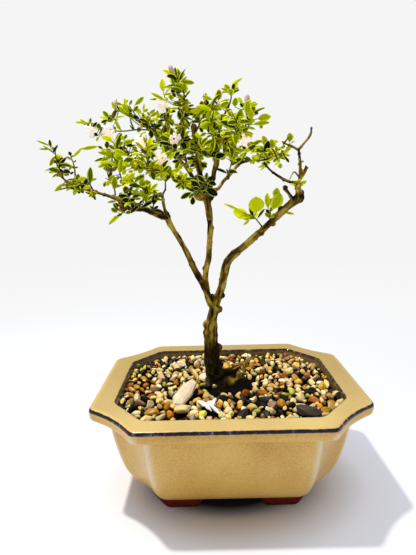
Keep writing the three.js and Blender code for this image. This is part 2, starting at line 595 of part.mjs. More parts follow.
// A funnel with a flat face of five lobes.
function flower({ at, to, size }) {
  const across = (FLOWER.across * size) / 2;
  const long = FLOWER.length * size;
  const { tube, throat, lobes, notch } = FLOWER;
  const outside = [[0, 0], [tube, 0.3], [throat, long * 0.78], [across, long]];
  const face = [[throat * 0.94, long * 0.93], [0, long * 0.8]];
  const profile = [...outside, ...face].map(([r, y]) => new THREE.Vector2(r, y));
  const funnel = new THREE.LatheGeometry(profile, 3 * lobes);
  const place = funnel.getAttribute("position");
  for (let i = 0; i < place.count; i++) {
    const [x, z] = [place.getX(i), place.getZ(i)];
    if (Math.hypot(x, z) < across * 0.8) continue;
    const lobe = Math.abs(Math.cos((lobes / 2) * Math.atan2(x, z)));
    const reach = notch + (1 - notch) * Math.sqrt(lobe);
    place.setXYZ(i, x * reach, place.getY(i), z * reach);
  }
  return solid(funnel.applyMatrix4(standing(at, to)));
}

function bud({ at, to, length }) {
  const profile = [[0, 0], [0.7, 0.15], [0.9, 0.4], [1, 0.7], [0.55, 0.92], [0, 1]];
  const side = profile.map(([r, y]) => new THREE.Vector2(r * BUD_RADIUS, y * length));
  return solid(new THREE.LatheGeometry(side, 7).applyMatrix4(standing(at, to)));
}

const overlaps = (a, b) => {
  const [p, q] = [a.boundingBox(), b.boundingBox()];
  if ([0, 1, 2].some((i) => p.min[i] > q.max[i] || q.min[i] > p.max[i])) return false;
  return a.intersect(b).volume() > 1e-6;
};

// ---------------------------------------------------------------- assembly
const bonsai = new THREE.Group();
bonsai.name = "serissa_bonsai";

function show(name, body, material) {
  const mesh = new THREE.Mesh(geometryOf(body), material);
  mesh.name = name;
  bonsai.add(mesh);
}

const limbs = [...Object.values(LIMBS), ...ROOTS];
const join = (bodies) => bodies.reduce((whole, body) => whole.add(body));
const wood = largest(join(limbs.map((each) => limb(each))));
const woodRoom = largest(join(limbs.map((each) => limb(each, GAP))));

show("pot", pot(), GLAZED_STONEWARE);
show("drain_screen_left", drainScreen(-1), SCREEN_PLASTIC);
show("drain_screen_right", drainScreen(1), SCREEN_PLASTIC);
show("soil", soil(woodRoom), DARK_SOIL);
const stoneRooms = Object.values(STONES).map((each) => stone(each, GAP));
show("gravel", gravel(woodRoom, stoneRooms), MIXED_GRAVEL);
for (const [name, each] of Object.entries(STONES)) show(name, stone(each), finish(each.colour, 0.7));
show("trunk_and_branches", wood, BARK);

// Each green stem ends a gap short of the wood that bears it, and each flower short of its stem.
const stems = new Map();
for (const [name, shoot] of Object.entries(SHOOTS)) {
  stems.set(name, largest(stem(shoot.stem).subtract(woodRoom)));
}
const stemRooms = join(Object.values(SHOOTS).map((shoot) => stem(shoot.stem, GAP)));
const taken = [{ owner: "wood", body: woodRoom }];
for (const [name, body] of stems) taken.push({ owner: name, body });
const bearers = woodRoom.add(stemRooms);
function bear(name, whole, material) {
  const body = largest(whole.subtract(bearers));
  show(name, body, material);
  taken.push({ owner: name, body });
}
for (const [name, each] of Object.entries(FLOWERS)) bear(name, flower(each), PETAL_WHITE);
for (const [name, each] of Object.entries(BUDS)) bear(name, bud(each), BUD_PINK);

// A leaf that would touch another piece is tried again a little turned and shorter, then left out.
const TRIES = [[0, 1], [0.5, 0.9], [-0.5, 0.9], [1, 0.8], [-1, 0.8]];
Object.entries(SHOOTS).forEach(([name, shoot], seed) => {
  let whole = stems.get(name);
  for (const { base, along, normal, size } of leafPlaces(shoot, seed + 1)) {
    for (const [turn, share] of TRIES) {
      const towards = along.clone().applyAxisAngle(normal.clone().normalize(), turn);
      const room = leaf(base, towards, normal, size * share, GAP);
      const others = taken.filter(({ owner }) => owner !== name);
      if (others.some(({ body }) => overlaps(room, body))) continue;
      const body = leaf(base, towards, normal, size * share);
      whole = whole.add(body);
      taken.push({ owner: name, body });
      break;
    }
  }
  show("leaves_" + name, largest(whole), LEAF_GREEN);
});

const middle = new THREE.Box3().setFromObject(bonsai).getCenter(new THREE.Vector3());
bonsai.position.set(-Math.round(middle.x), -Math.round(middle.y), 0);

export default bonsai;
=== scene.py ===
"""A serissa bonsai in its glazed stoneware pot: the fine shape and the finish of every piece.

Shapes are worked out in millimetres round the pot's centre line, +Z up, and are put into the
frame, in metres, when a piece is finished.
"""

import math
import random

import bmesh
import bpy
from mathutils import Matrix, Quaternion, Vector, noise
from mathutils.kdtree import KDTree


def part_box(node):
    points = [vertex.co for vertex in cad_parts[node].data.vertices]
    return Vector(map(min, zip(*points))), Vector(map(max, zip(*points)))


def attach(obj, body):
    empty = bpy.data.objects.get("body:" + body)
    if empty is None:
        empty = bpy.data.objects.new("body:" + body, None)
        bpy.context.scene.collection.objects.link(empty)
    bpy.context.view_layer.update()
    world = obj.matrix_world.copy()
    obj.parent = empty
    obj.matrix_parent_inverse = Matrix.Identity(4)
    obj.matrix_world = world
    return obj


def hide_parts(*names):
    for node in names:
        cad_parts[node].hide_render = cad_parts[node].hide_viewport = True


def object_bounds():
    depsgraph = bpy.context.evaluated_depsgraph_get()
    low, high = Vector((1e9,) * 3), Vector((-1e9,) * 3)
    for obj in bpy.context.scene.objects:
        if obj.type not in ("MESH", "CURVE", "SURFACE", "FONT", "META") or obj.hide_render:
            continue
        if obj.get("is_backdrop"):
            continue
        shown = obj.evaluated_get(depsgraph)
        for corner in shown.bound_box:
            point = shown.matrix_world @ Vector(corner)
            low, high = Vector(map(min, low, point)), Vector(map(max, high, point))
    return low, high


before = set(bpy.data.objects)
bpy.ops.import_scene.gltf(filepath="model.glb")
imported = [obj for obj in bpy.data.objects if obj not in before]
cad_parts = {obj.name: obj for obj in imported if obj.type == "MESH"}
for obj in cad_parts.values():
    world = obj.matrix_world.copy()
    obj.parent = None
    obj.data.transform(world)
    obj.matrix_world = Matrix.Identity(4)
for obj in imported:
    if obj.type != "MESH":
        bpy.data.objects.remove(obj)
CAD_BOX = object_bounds()

MM = 0.001
POT_LOW, POT_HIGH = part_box("pot")
POT_CENTRE = Vector(((POT_LOW.x + POT_HIGH.x) / 2, (POT_LOW.y + POT_HIGH.y) / 2, 0))
UP = Vector((0, 0, 1))

# ---------------------------------------------------------------- sizes, mm
FOOT_HEIGHT = 8
FLOOR_TOP = 14
DRAIN = {"radius": 7, "x": 24}
GRAVEL_TOP = 60.6
STONE_PAINTED_SHADE = {"full": GRAVEL_TOP - 2.2, "none": GRAVEL_TOP - 0.5}  # heights on a stone between which its painted shade thins out
BED_TOP = 58
CORNER_RADIUS = 3.2  # of the pot's outline, where a panel turns into a notch

# Outline of the pot at a height: half sizes in x and y, half lengths of the straight front and side
# panels, and how far the notch between them bows towards the centre.
LEVEL = ("z", "x", "y", "front", "side", "bow")
OUTSIDE = [dict(zip(LEVEL, row)) for row in (
    (8, 49.6, 36, 38.5, 23.5, 1.5), (8.5, 50.8, 37.2, 39, 24, 1.5),
    (11, 53.8, 39.6, 40.2, 25, 2), (14, 56.7, 42.2, 41.2, 26.1, 2.4),
    (20, 60.8, 45.6, 42.4, 27.4, 2.8), (28, 63.4, 48.2, 43.4, 28.5, 3),
    (36, 65.4, 50.2, 44, 29.3, 3), (46, 67.4, 52.1, 44.6, 30, 3),
    (54, 68.1, 52.8, 45, 30.3, 3), (55.3, 67.6, 52.3, 44.8, 30.1, 3),
    (56, 68.4, 53, 45.2, 30.5, 3), (56.2, 74.3, 58.2, 48.4, 34.4, 2.6),
    (56.8, 76.3, 60.2, 49.7, 35.9, 2.5), (58, 77.1, 61, 50.2, 36.5, 2.5),
    (60.4, 77.3, 61.3, 50.3, 36.7, 2.5), (61.6, 77.3, 61.3, 50.3, 36.7, 2.5),
    (62.4, 77.2, 61.2, 50.3, 36.7, 2.5), (63.1, 76.9, 60.9, 50.2, 36.6, 2.5),
    (63.6, 76.4, 60.4, 50, 36.3, 2.5), (63.9, 75.6, 59.6, 49.7, 35.9, 2.4),
)]
# The rim's flat top, its inner lip and the inside wall, down to the floor.
INSIDE = [dict(zip(LEVEL, row)) for row in (
    (64, 74.5, 58.6, 49.4, 35.5, 2.3), (64, 68.6, 53.4, 48, 32, 1),
    (63.95, 65.6, 50.7, 47.1, 30.2, 0.2), (63.6, 64.1, 49.2, 46.5, 28.9, 0),
    (62.8, 63.5, 48.6, 46.2, 28.5, 0), (59.6, 63.3, 48.4, 45.6, 28, 0),
    (52, 62, 47, 41, 24.5, 0), (36, 58.3, 43.6, 38.5, 22.5, 0),
    (20, 53.5, 39, 36, 20, 0), (15, 50, 36, 35.2, 19.2, 0),
    (14, 48, 34, 34.6, 18.6, 0),
)]
# A bracket foot in plan, in the +x +y quarter, at its sole and where it meets the body.
FOOT_SOLE = [
    (18.5, 33), (37, 33), (46, 22), (46, 11.5), (40.5, 11.5), (40.5, 19), (34.5, 25.5), (18.5, 25.5),
]
FOOT_TOP = [(14.2, 35.6), (38, 35.6), (48.6, 23.2), (48.6, 9), (40, 9), (40, 17.5), (34, 24), (14.2, 24)]
FOOT_BEVEL = 0.8

# Wood: each limb is a route through points, with its radius at every point.
LIMBS = {
    "trunk": (
        [(-5, 10, 45), (-6, 10, 53), (-8, 10, 62), (-9.5, 10, 75), (-10, 9, 90), (-8.5, 9, 101),
         (-7.5, 9, 107), (-7.5, 9, 113)],
        [7.5, 7.2, 5.6, 4.7, 4.4, 3.3, 3.1, 3],
    ),
    "left": (
        [(-8, 9, 107), (-11.5, 8, 115), (-15, 7, 123), (-20, 5, 134), (-26, 2, 148), (-31, -1, 157),
         (-34, -3, 164)],
        [2.6, 2.2, 2, 1.8, 1.5, 1.4, 1.9],
    ),
    "centre": (
        [(-12, 8, 117), (-12.5, 10, 127), (-10.5, 12, 137), (-9.5, 13, 148), (-9, 14, 159),
         (-10, 14, 170), (-11, 14, 178)],
        [2, 1.9, 1.8, 1.7, 1.8, 2.2, 3.6],
    ),
    "right": (
        [(-6.5, 9, 109), (-4, 8, 116), (-2, 6, 123), (1, 3, 136), (8.5, -1, 144), (17, -5, 152),
         (23, -9, 158), (29, -12, 164), (34, -15, 169), (39, -17, 173)],
        [2.7, 2.5, 2.3, 2.7, 2.1, 2, 1.9, 2, 2, 2.9],
    ),
    "far_left": (
        [(-34, -3, 163), (-39, -6, 165), (-45, -10, 168), (-53, -13, 169), (-59, -14, 174),
         (-67, -16, 177), (-73, -18, 179), (-81, -18, 181), (-86, -17, 185)],
        [1.8, 1.5, 1.3, 1.3, 1.1, 0.8, 0.7, 0.7, 0.6],
    ),
    "knuckle": ([(-34, -3, 164), (-35.5, -1, 171), (-36, 1, 176), (-34.5, 3, 179)], [1.2, 0.9, 0.8, 0.6]),
    "knuckle_left": ([(-36, 1, 175), (-38, -4, 176), (-42, -9, 178), (-46, -14, 180)], [0.7, 0.6, 0.6, 0.5]),
    "far_right": (
        [(-11, 14, 177), (-4, 18, 179), (0, 22, 184), (6, 26, 190), (11, 29, 195), (18, 31, 197),
         (26, 30, 197), (33, 27, 199)],
        [2, 1.3, 1.1, 1, 0.9, 0.9, 0.8, 0.6],
    ),
    "middle": (
        [(-10, 13, 178), (-7, 8, 184), (-6, 5, 189), (-4.5, 2, 194), (-5, 0, 200), (-5, -3, 205),
         (0, -8, 205), (4, -13, 205), (8, -16, 207), (10, -17, 209)],
        [2, 1.5, 1.4, 1.9, 1.2, 1, 0.9, 0.8, 0.7, 0.6],
    ),
    "middle_top": ([(-5, -3, 204), (-5.5, -1, 210), (-6, 0, 215)], [0.8, 0.7, 0.6]),
    "crown": ([(-5, -1, 202), (-2, 8, 213), (1, 14, 222), (4, 17, 228)], [0.8, 0.8, 0.7, 0.6]),
    "cut_stub": (
        [(-12, 13, 178), (-14, 8, 187), (-15, 7, 195), (-15.5, 8, 203), (-17, 10, 210), (-17.5, 11, 216)],
        [1.9, 1.4, 1.4, 1.6, 1.7, 1.5],
    ),
    "back": ([(-12, 15, 181), (-15, 22, 190), (-17, 28, 197), (-19, 32, 201)], [1.2, 0.9, 0.7, 0.6]),
    "back_left": (
        [(-12, 15, 178), (-18, 20, 185), (-23, 25, 193), (-29, 29, 200), (-34, 32, 205), (-37, 34, 213),
         (-41, 35, 217), (-47, 35, 219)],
        [1.9, 1.3, 1.1, 1, 1, 0.9, 0.7, 0.6],
    ),
    "back_rise": ([(-37, 34, 212), (-34.5, 30, 221), (-33.5, 27, 226)], [0.7, 0.6, 0.6]),
    "leader": (
        [(-22, 25, 193), (-24, 20, 202), (-25.5, 17, 208), (-24, 14, 216), (-23.5, 11, 223),
         (-22.5, 10, 228)],
        [0.9, 0.8, 0.7, 0.7, 0.6, 0.6],
    ),
    "front_left": (
        [(-11, 14, 177), (-17, 8, 178), (-22, 0, 180), (-26, -8, 185), (-32, -14, 188), (-42, -17, 189),
         (-47, -15, 193)],
        [1.7, 1.3, 1.1, 1, 0.8, 0.7, 0.6],
    ),
    "right_rise": (
        [(38, -17, 173), (38.5, -16, 178), (39.5, -14, 183), (40, -12, 190), (39, -11, 199)],
        [1.9, 1.1, 1, 0.9, 0.8],
    ),
    "right_stub": ([(35.5, -16, 171.5), (33, -18, 175), (30.5, -20, 177.6)], [1.1, 0.8, 1.1]),
    "right_return": (
        [(39, -15, 181), (33, -18, 181), (27, -20, 184), (23, -19, 187), (20, -17, 191)],
        [0.9, 0.8, 0.8, 0.7, 0.6],
    ),
    "right_hook": ([(39, -11, 198), (42, -9, 201), (47, -5, 207), (47.5, -4, 211)], [0.8, 0.7, 0.7, 0.5]),
    "right_tine": ([(39, -15, 182), (41.5, -12, 185), (44, -10, 189)], [1, 1.1, 0.9]),
    "right_inner": ([(39, -11, 198), (34, -14, 200), (30.5, -15, 201)], [0.7, 0.6, 0.5]),
}
# Roots that show on the gravel, then those that hold the tree in the soil.
ROOTS = [
    ([(-4, 13, 60), (5, 18, 62), (12, 23, 62.2), (18, 29, 57)], [3, 1.8, 1.4, 1]),
    ([(11, 22, 62.2), (11, 10, 62.2), (4, 0, 61.8), (-5, -7, 59)], [1.3, 1.2, 1.1, 0.8]),
    ([(10, 20, 60), (15, 24, 65.5), (21, 27, 66.5), (26, 29, 58)], [1.1, 1, 0.9, 0.8]),
    ([(-8, 9, 60), (-15, 4, 56), (-21, -2, 51)], [3, 1.8, 1]),
    ([(-5, 10, 50), (-22, 2, 40), (-38, -8, 28)], [4, 2.2, 1]),
    ([(-5, 10, 50), (12, -2, 40), (30, -14, 28)], [4, 2.2, 1]),
    ([(-5, 10, 50), (5, 26, 42), (14, 32, 28)], [3.6, 2, 1]),
    ([(-5, 10, 50), (-16, 24, 42), (-30, 30, 30)], [3.6, 2, 1]),
    ([(-5, 10, 48), (-4, 2, 36), (0, -8, 24)], [4, 2.4, 1.2]),
]

# Leafy shoots: the green stem's route, how many pairs of leaves it carries, their length, their tone from 0,
# dark, to 1, lime, which stands partly for age and partly for painted shade and painted sunlight, and their
# width as a share of their length.
SHOOTS = {
    "left_tip": ([(-86, -17, 185), (-89, -16, 191), (-90, -15, 197), (-90, -15, 201)], 6, 8.5, 0.4, 0.44),
    "left_curl": (
        [(-80.5, -18, 181), (-80.5, -15, 187), (-81.5, -13, 193), (-83, -12, 197)], 5, 9, 0.5, 0.44,
    ),
    "left_low": ([(-82, -18, 181), (-86, -20, 180), (-89, -22, 179)], 2, 8, 0.7, 0.44),
    "left_middle": ([(-71, -17, 179), (-73, -15, 182), (-75, -13, 185)], 4, 8, 0.6, 0.44),
    "left_front": ([(-77, -18, 180), (-76, -22, 183), (-77, -25, 184)], 3, 7.5, 0.6, 0.44),
    "upright_side": ([(-60, -14, 174), (-61, -11, 180), (-64, -8, 184)], 4, 8, 0.6, 0.44),
    "upright": (
        [(-55, -13, 170), (-55, -13, 178), (-57, -11, 186), (-59, -9, 193), (-59.5, -8, 200),
         (-61, -7, 205)],
        9, 9, 0.7, 0.44,
    ),
    "flowering": (
        [(-42, 35, 217), (-52, 30, 217), (-63, 22, 215), (-71, 15, 216), (-76, 11, 218)],
        8, 8.5, 0.5, 0.44,
    ),
    "drooping": ([(-54, -13, 169), (-56, -16, 167), (-59, -18, 164)], 4, 8.5, 0.35, 0.44),
    "spur_low": ([(-45, -10, 168), (-48, -14, 171), (-50, -17, 173)], 4, 7.5, 0.3, 0.44),
    "spur_middle": ([(-45, -10, 168), (-44.5, -8, 173), (-45, -6, 177)], 4, 7.5, 0.4, 0.44),
    "spur_inner": ([(-41.5, -7, 166), (-41, -3, 171), (-40.5, -1, 176)], 4, 7.5, 0.5, 0.44),
    "inner_left": ([(-34.5, 3, 179), (-34.5, 4, 184), (-35, 6, 189)], 5, 9, 0.7, 0.44),
    "inner_low": ([(-46, -14, 180), (-48, -18, 182), (-51, -21, 184)], 5, 8.5, 0.75, 0.44),
    "bud_shoot": ([(-47, 35, 219), (-53, 32, 223), (-59, 28, 226), (-65, 24, 228)], 7, 8.5, 0.5, 0.44),
    "top": ([(-22.5, 10, 228), (-22.5, 9, 233), (-25, 8, 238), (-27, 6, 241)], 7, 9.5, 0.6, 0.44),
    "top_left": ([(-33.5, 27, 226), (-34, 24, 231), (-35, 20, 236)], 6, 8.5, 0.6, 0.44),
    "front_tip": ([(-47, -15, 193), (-51, -13, 196), (-55, -11, 198)], 4, 8.5, 0.6, 0.44),
    "front_up": ([(-42, -17, 189), (-41, -20, 194), (-41, -22, 198)], 5, 8.5, 0.6, 0.44),
    "front_knee": ([(-37, -15.5, 188.5), (-36.5, -12, 192), (-34, -9, 196)], 4, 8, 0.5, 0.44),
    "back_front": ([(-29, 29, 200), (-30.5, 22, 205), (-30.5, 17, 209)], 5, 8.5, 0.4, 0.44),
    "back_far": ([(-36, 33, 209), (-42, 40, 210), (-48, 45, 212)], 5, 8.5, 0.4, 0.44),
    "back_tip": ([(-19, 32, 201), (-20.5, 36, 206), (-21.5, 39, 212)], 5, 8.5, 0.4, 0.44),
    "sprout": ([(-17, 10, 210), (-14, 15, 217), (-11.5, 18, 224), (-10, 20, 230)], 6, 8.5, 0.6, 0.44),
    "heart": ([(-11, 12, 179), (-11.5, 3, 183), (-12.5, -3, 186)], 6, 10, 0.05, 0.48),
    "middle_up": ([(-6, 0, 215), (-6.5, 2, 221), (-9.5, 4, 225)], 6, 9, 0.7, 0.44),
    "crown": ([(4, 17, 228), (5.5, 19, 234), (6, 20, 240)], 6, 9, 0.6, 0.44),
    "middle_tip": ([(10, -17, 209), (11, -18, 214), (11, -18, 218)], 6, 9, 0.6, 0.44),
    "middle_elbow": ([(4, -13, 205), (5, -20, 208), (5.5, -26, 210)], 5, 8.5, 0.7, 0.44),
    "middle_right": ([(-4.5, 2, 195), (0, -4, 199), (4, -10, 201)], 5, 8.5, 0.6, 0.44),
    "middle_left": ([(-4.5, 2, 195), (-9.5, -7, 198), (-13, -13, 201)], 5, 8.5, 0.6, 0.44),
    "far_right_tip": ([(33, 27, 199), (38, 24, 201), (40, 22, 204)], 5, 8.5, 0.7, 0.5),
    "far_right_up": ([(11, 29, 195), (15, 34, 202), (19, 38, 207)], 5, 8.5, 0.6, 0.44),
    "far_right_low": ([(2, 23, 186), (4, 18, 192), (5, 14, 197)], 5, 8.5, 0.5, 0.44),
    "far_right_back": ([(26, 30, 197), (28, 36, 202), (30, 41, 208)], 5, 8.5, 0.6, 0.5),
    "lime_left": ([(21, -7.5, 156), (17.5, -12, 160), (14, -15, 164)], 4, 10, 0.95, 0.66),
    "lime_right": ([(24, -9.5, 159), (24, -12, 165), (24.5, -13, 170)], 4, 10.5, 0.95, 0.66),
    "right_low": ([(39.5, -14, 183), (35, -20, 186), (32, -24, 182)], 2, 7, 0.9, 0.44),
    "right_tip": ([(30.5, -15, 201), (32, -17, 203), (33, -19, 205)], 2, 7.5, 0.7, 0.6),
}
PAIRS = {"first": 0.22, "last": 0.98, "lean": (0.35, 1.1), "lean_spread": 0.4, "twist": 0.9, "size": 0.3}
STEM_RADII = (0.5, 0.3)

# Open flowers and closed buds: where the tube starts, and the way it points.
FLOWERS = {
    "face": ((-65, 20.5, 215), (-0.5, -0.8, -0.35), 0.95),
    "side": ((-73, 13.5, 216.5), (-0.75, -0.45, -0.45), 0.75),
    "top_left": ((-34, 24, 231), (-0.35, -0.8, -0.35), 0.65),
    "trumpet": ((-41, -22, 198.5), (-0.45, -0.35, 0.8), 0.8),
    "knee": ((-34, -9, 196), (-0.08, -0.95, -0.25), 0.75),
    "back": ((-30.5, 17, 209), (0.3, -0.8, -0.1), 0.65),
    "right": ((8.5, -16.2, 207), (0.25, -0.45, -0.85), 0.72),
}
FLOWER = {"across": 13.5, "tube": 0.8, "throat": 1.7, "length": 8.5, "lobes": 5, "notch": 0.42}
BUDS = {
    "left": ((-65, 24, 228), (0.1, 0, 1), 5),
    "top": ((-27, 6, 241), (-0.45, 0, 0.9), 6.5),
    "right": ((11, -18, 218), (0, 0, 1), 7),
    "crown": ((-10, 20, 230), (-0.1, -0.2, 0.9), 5),
}

# Stones that stand out of the gravel: centre, half sizes and turn about x, y and z in degrees.
STONES = {
    "shard_stone": ((-25.6, -20.2, 64), (11.8, 4.9, 1.9), (20, -14, 52)),
    "cream_stone": ((-27, -35.5, 62.3), (4.2, 3.4, 2.8), (0, 8, 30)),
    "white_stone": ((-12, -34.5, 62.4), (7.5, 3.2, 2.6), (15, 0, -55)),
    "dark_stone": ((40, -39.5, 61.9), (6.6, 3.8, 2.6), (0, 5, -12)),
}
# The white stone's splinters: for each, the pixels of its two ends, its breadth in mm, and how far
# its ends rise above the gravel.
SPLINTERS = [
    (198, 401, 208, 407, 3.4, (0.8, 1.6)), (204, 406, 214, 402, 3.2, (1.0, 2.2)),
    (211, 408, 216, 397.5, 1.8, (1.2, 4.0)), (209, 403, 219.5, 414, 2.4, (2.2, 0.6)),
    (203, 402, 211, 411, 2.6, (1.4, 1.0)),
]


# ---------------------------------------------------------------- places given in the camera's picture
CAMERA = {"at": Vector((-11.0, -242.5, 171.8)), "down": 10.38, "roll": -1.27, "lens": 26.92}
SENSOR = 36
PICTURE = (416, 555)
CAMERA_TURN = Matrix.Rotation(math.radians(90 - CAMERA["down"]), 3, "X") @ Matrix.Rotation(
    math.radians(CAMERA["roll"]), 3, "Z"
)


def ray_through(u, v):
    """The direction in which the camera sees a pixel."""
    wide, high = PICTURE
    return CAMERA_TURN @ Vector((u - wide / 2, high / 2 - v, -CAMERA["lens"] / SENSOR * high))


def sight(u, v, depth):
    """The point that is seen at a pixel, on the upright plane at a depth y."""
    ray = ray_through(u, v)
    return CAMERA["at"] + ray * ((depth - CAMERA["at"].y) / ray.y)


def spot(u, v, level):
    """The point that is seen at a pixel, on the level plane at a height z."""
    ray = ray_through(u, v)
    return CAMERA["at"] + ray * ((level - CAMERA["at"].z) / ray.z)


# Swellings of the wood, where limbs were cut or part: pixel, depth and radius.
KNOBS = {
    "trunk_bulge": (206.5, 325, 7, 3.6),
    "trunk_bulge_low": (207, 333, 7, 3.4),
    "trunk_shoulder": (219, 309, 8, 2.9),
    "trunk_side": (221, 347, 9, 2.6),
    "trunk_flare": (221, 362, 9, 3.2),
    "fork_right_side": (223, 296, 8, 2.3),
    "fork_left_side": (212, 296, 8, 2.0),
    "right_knee": (230, 257, 2, 2.3),
    "right_knee_top": (233, 254, 1, 1.9),
    "right_lump": (245, 246, -1, 1.7),
    "right_scar": (262, 233, -5, 2.0),
    "right_scar_far": (274, 225, -8, 1.8),
    "right_scar_top": (281, 209, -12, 2.0),
    "right_end": (300, 197, -17, 2.5),
    "right_end_side": (303, 193, -16, 1.6),
    "right_end_top": (298, 188, -15, 1.7),
    "stub_end": (285, 187, -20, 1.5),
    "crown_knuckle": (206, 195, 14, 4.4),
    "crown_knuckle_left": (199, 197, 12, 3.3),
    "crown_knuckle_right": (210.5, 197, 12, 3.2),
    "crown_knuckle_top": (202, 190, 14, 3.2),
    "crown_scar": (197, 201, 11, 1.2),
    "left_knuckle": (167, 217, -3, 2.0),
    "left_knuckle_top": (169, 213, -3, 1.1),
    "left_bend": (124, 206, -11, 2.3),
    "left_bend_low": (120, 211, -12, 1.4),
    "left_node": (96, 192, -14, 1.2),
    "left_tip_knot": (58, 171, -17, 1.5),
    "left_tip_end": (55, 149, -16, 1.1),
    "stem_node_low": (204, 268, 12, 1.7),
    "stem_node": (212, 228, 13, 1.6),
    "middle_knot": (216, 160, 2, 1.8),
    "middle_fork": (216, 138, 0, 1.2),
    "far_right_node": (228, 178, 19, 1.2),
    "far_right_fork": (242, 161, 25, 1.2),
    "cut_stub_top": (194, 127, 10, 2.0),
    "cut_stub_middle": (196, 137, 9, 2.0),
    "inner_fork": (165, 128, 24, 1.2),
    "root_heel": (216, 381, 1, 4.2),
    "root_heel_right": (229, 381, 8, 3.8),
    "root_heel_far": (240, 376, 15, 3.0),
    "root_heel_left": (209, 378, 4, 3.2),
}

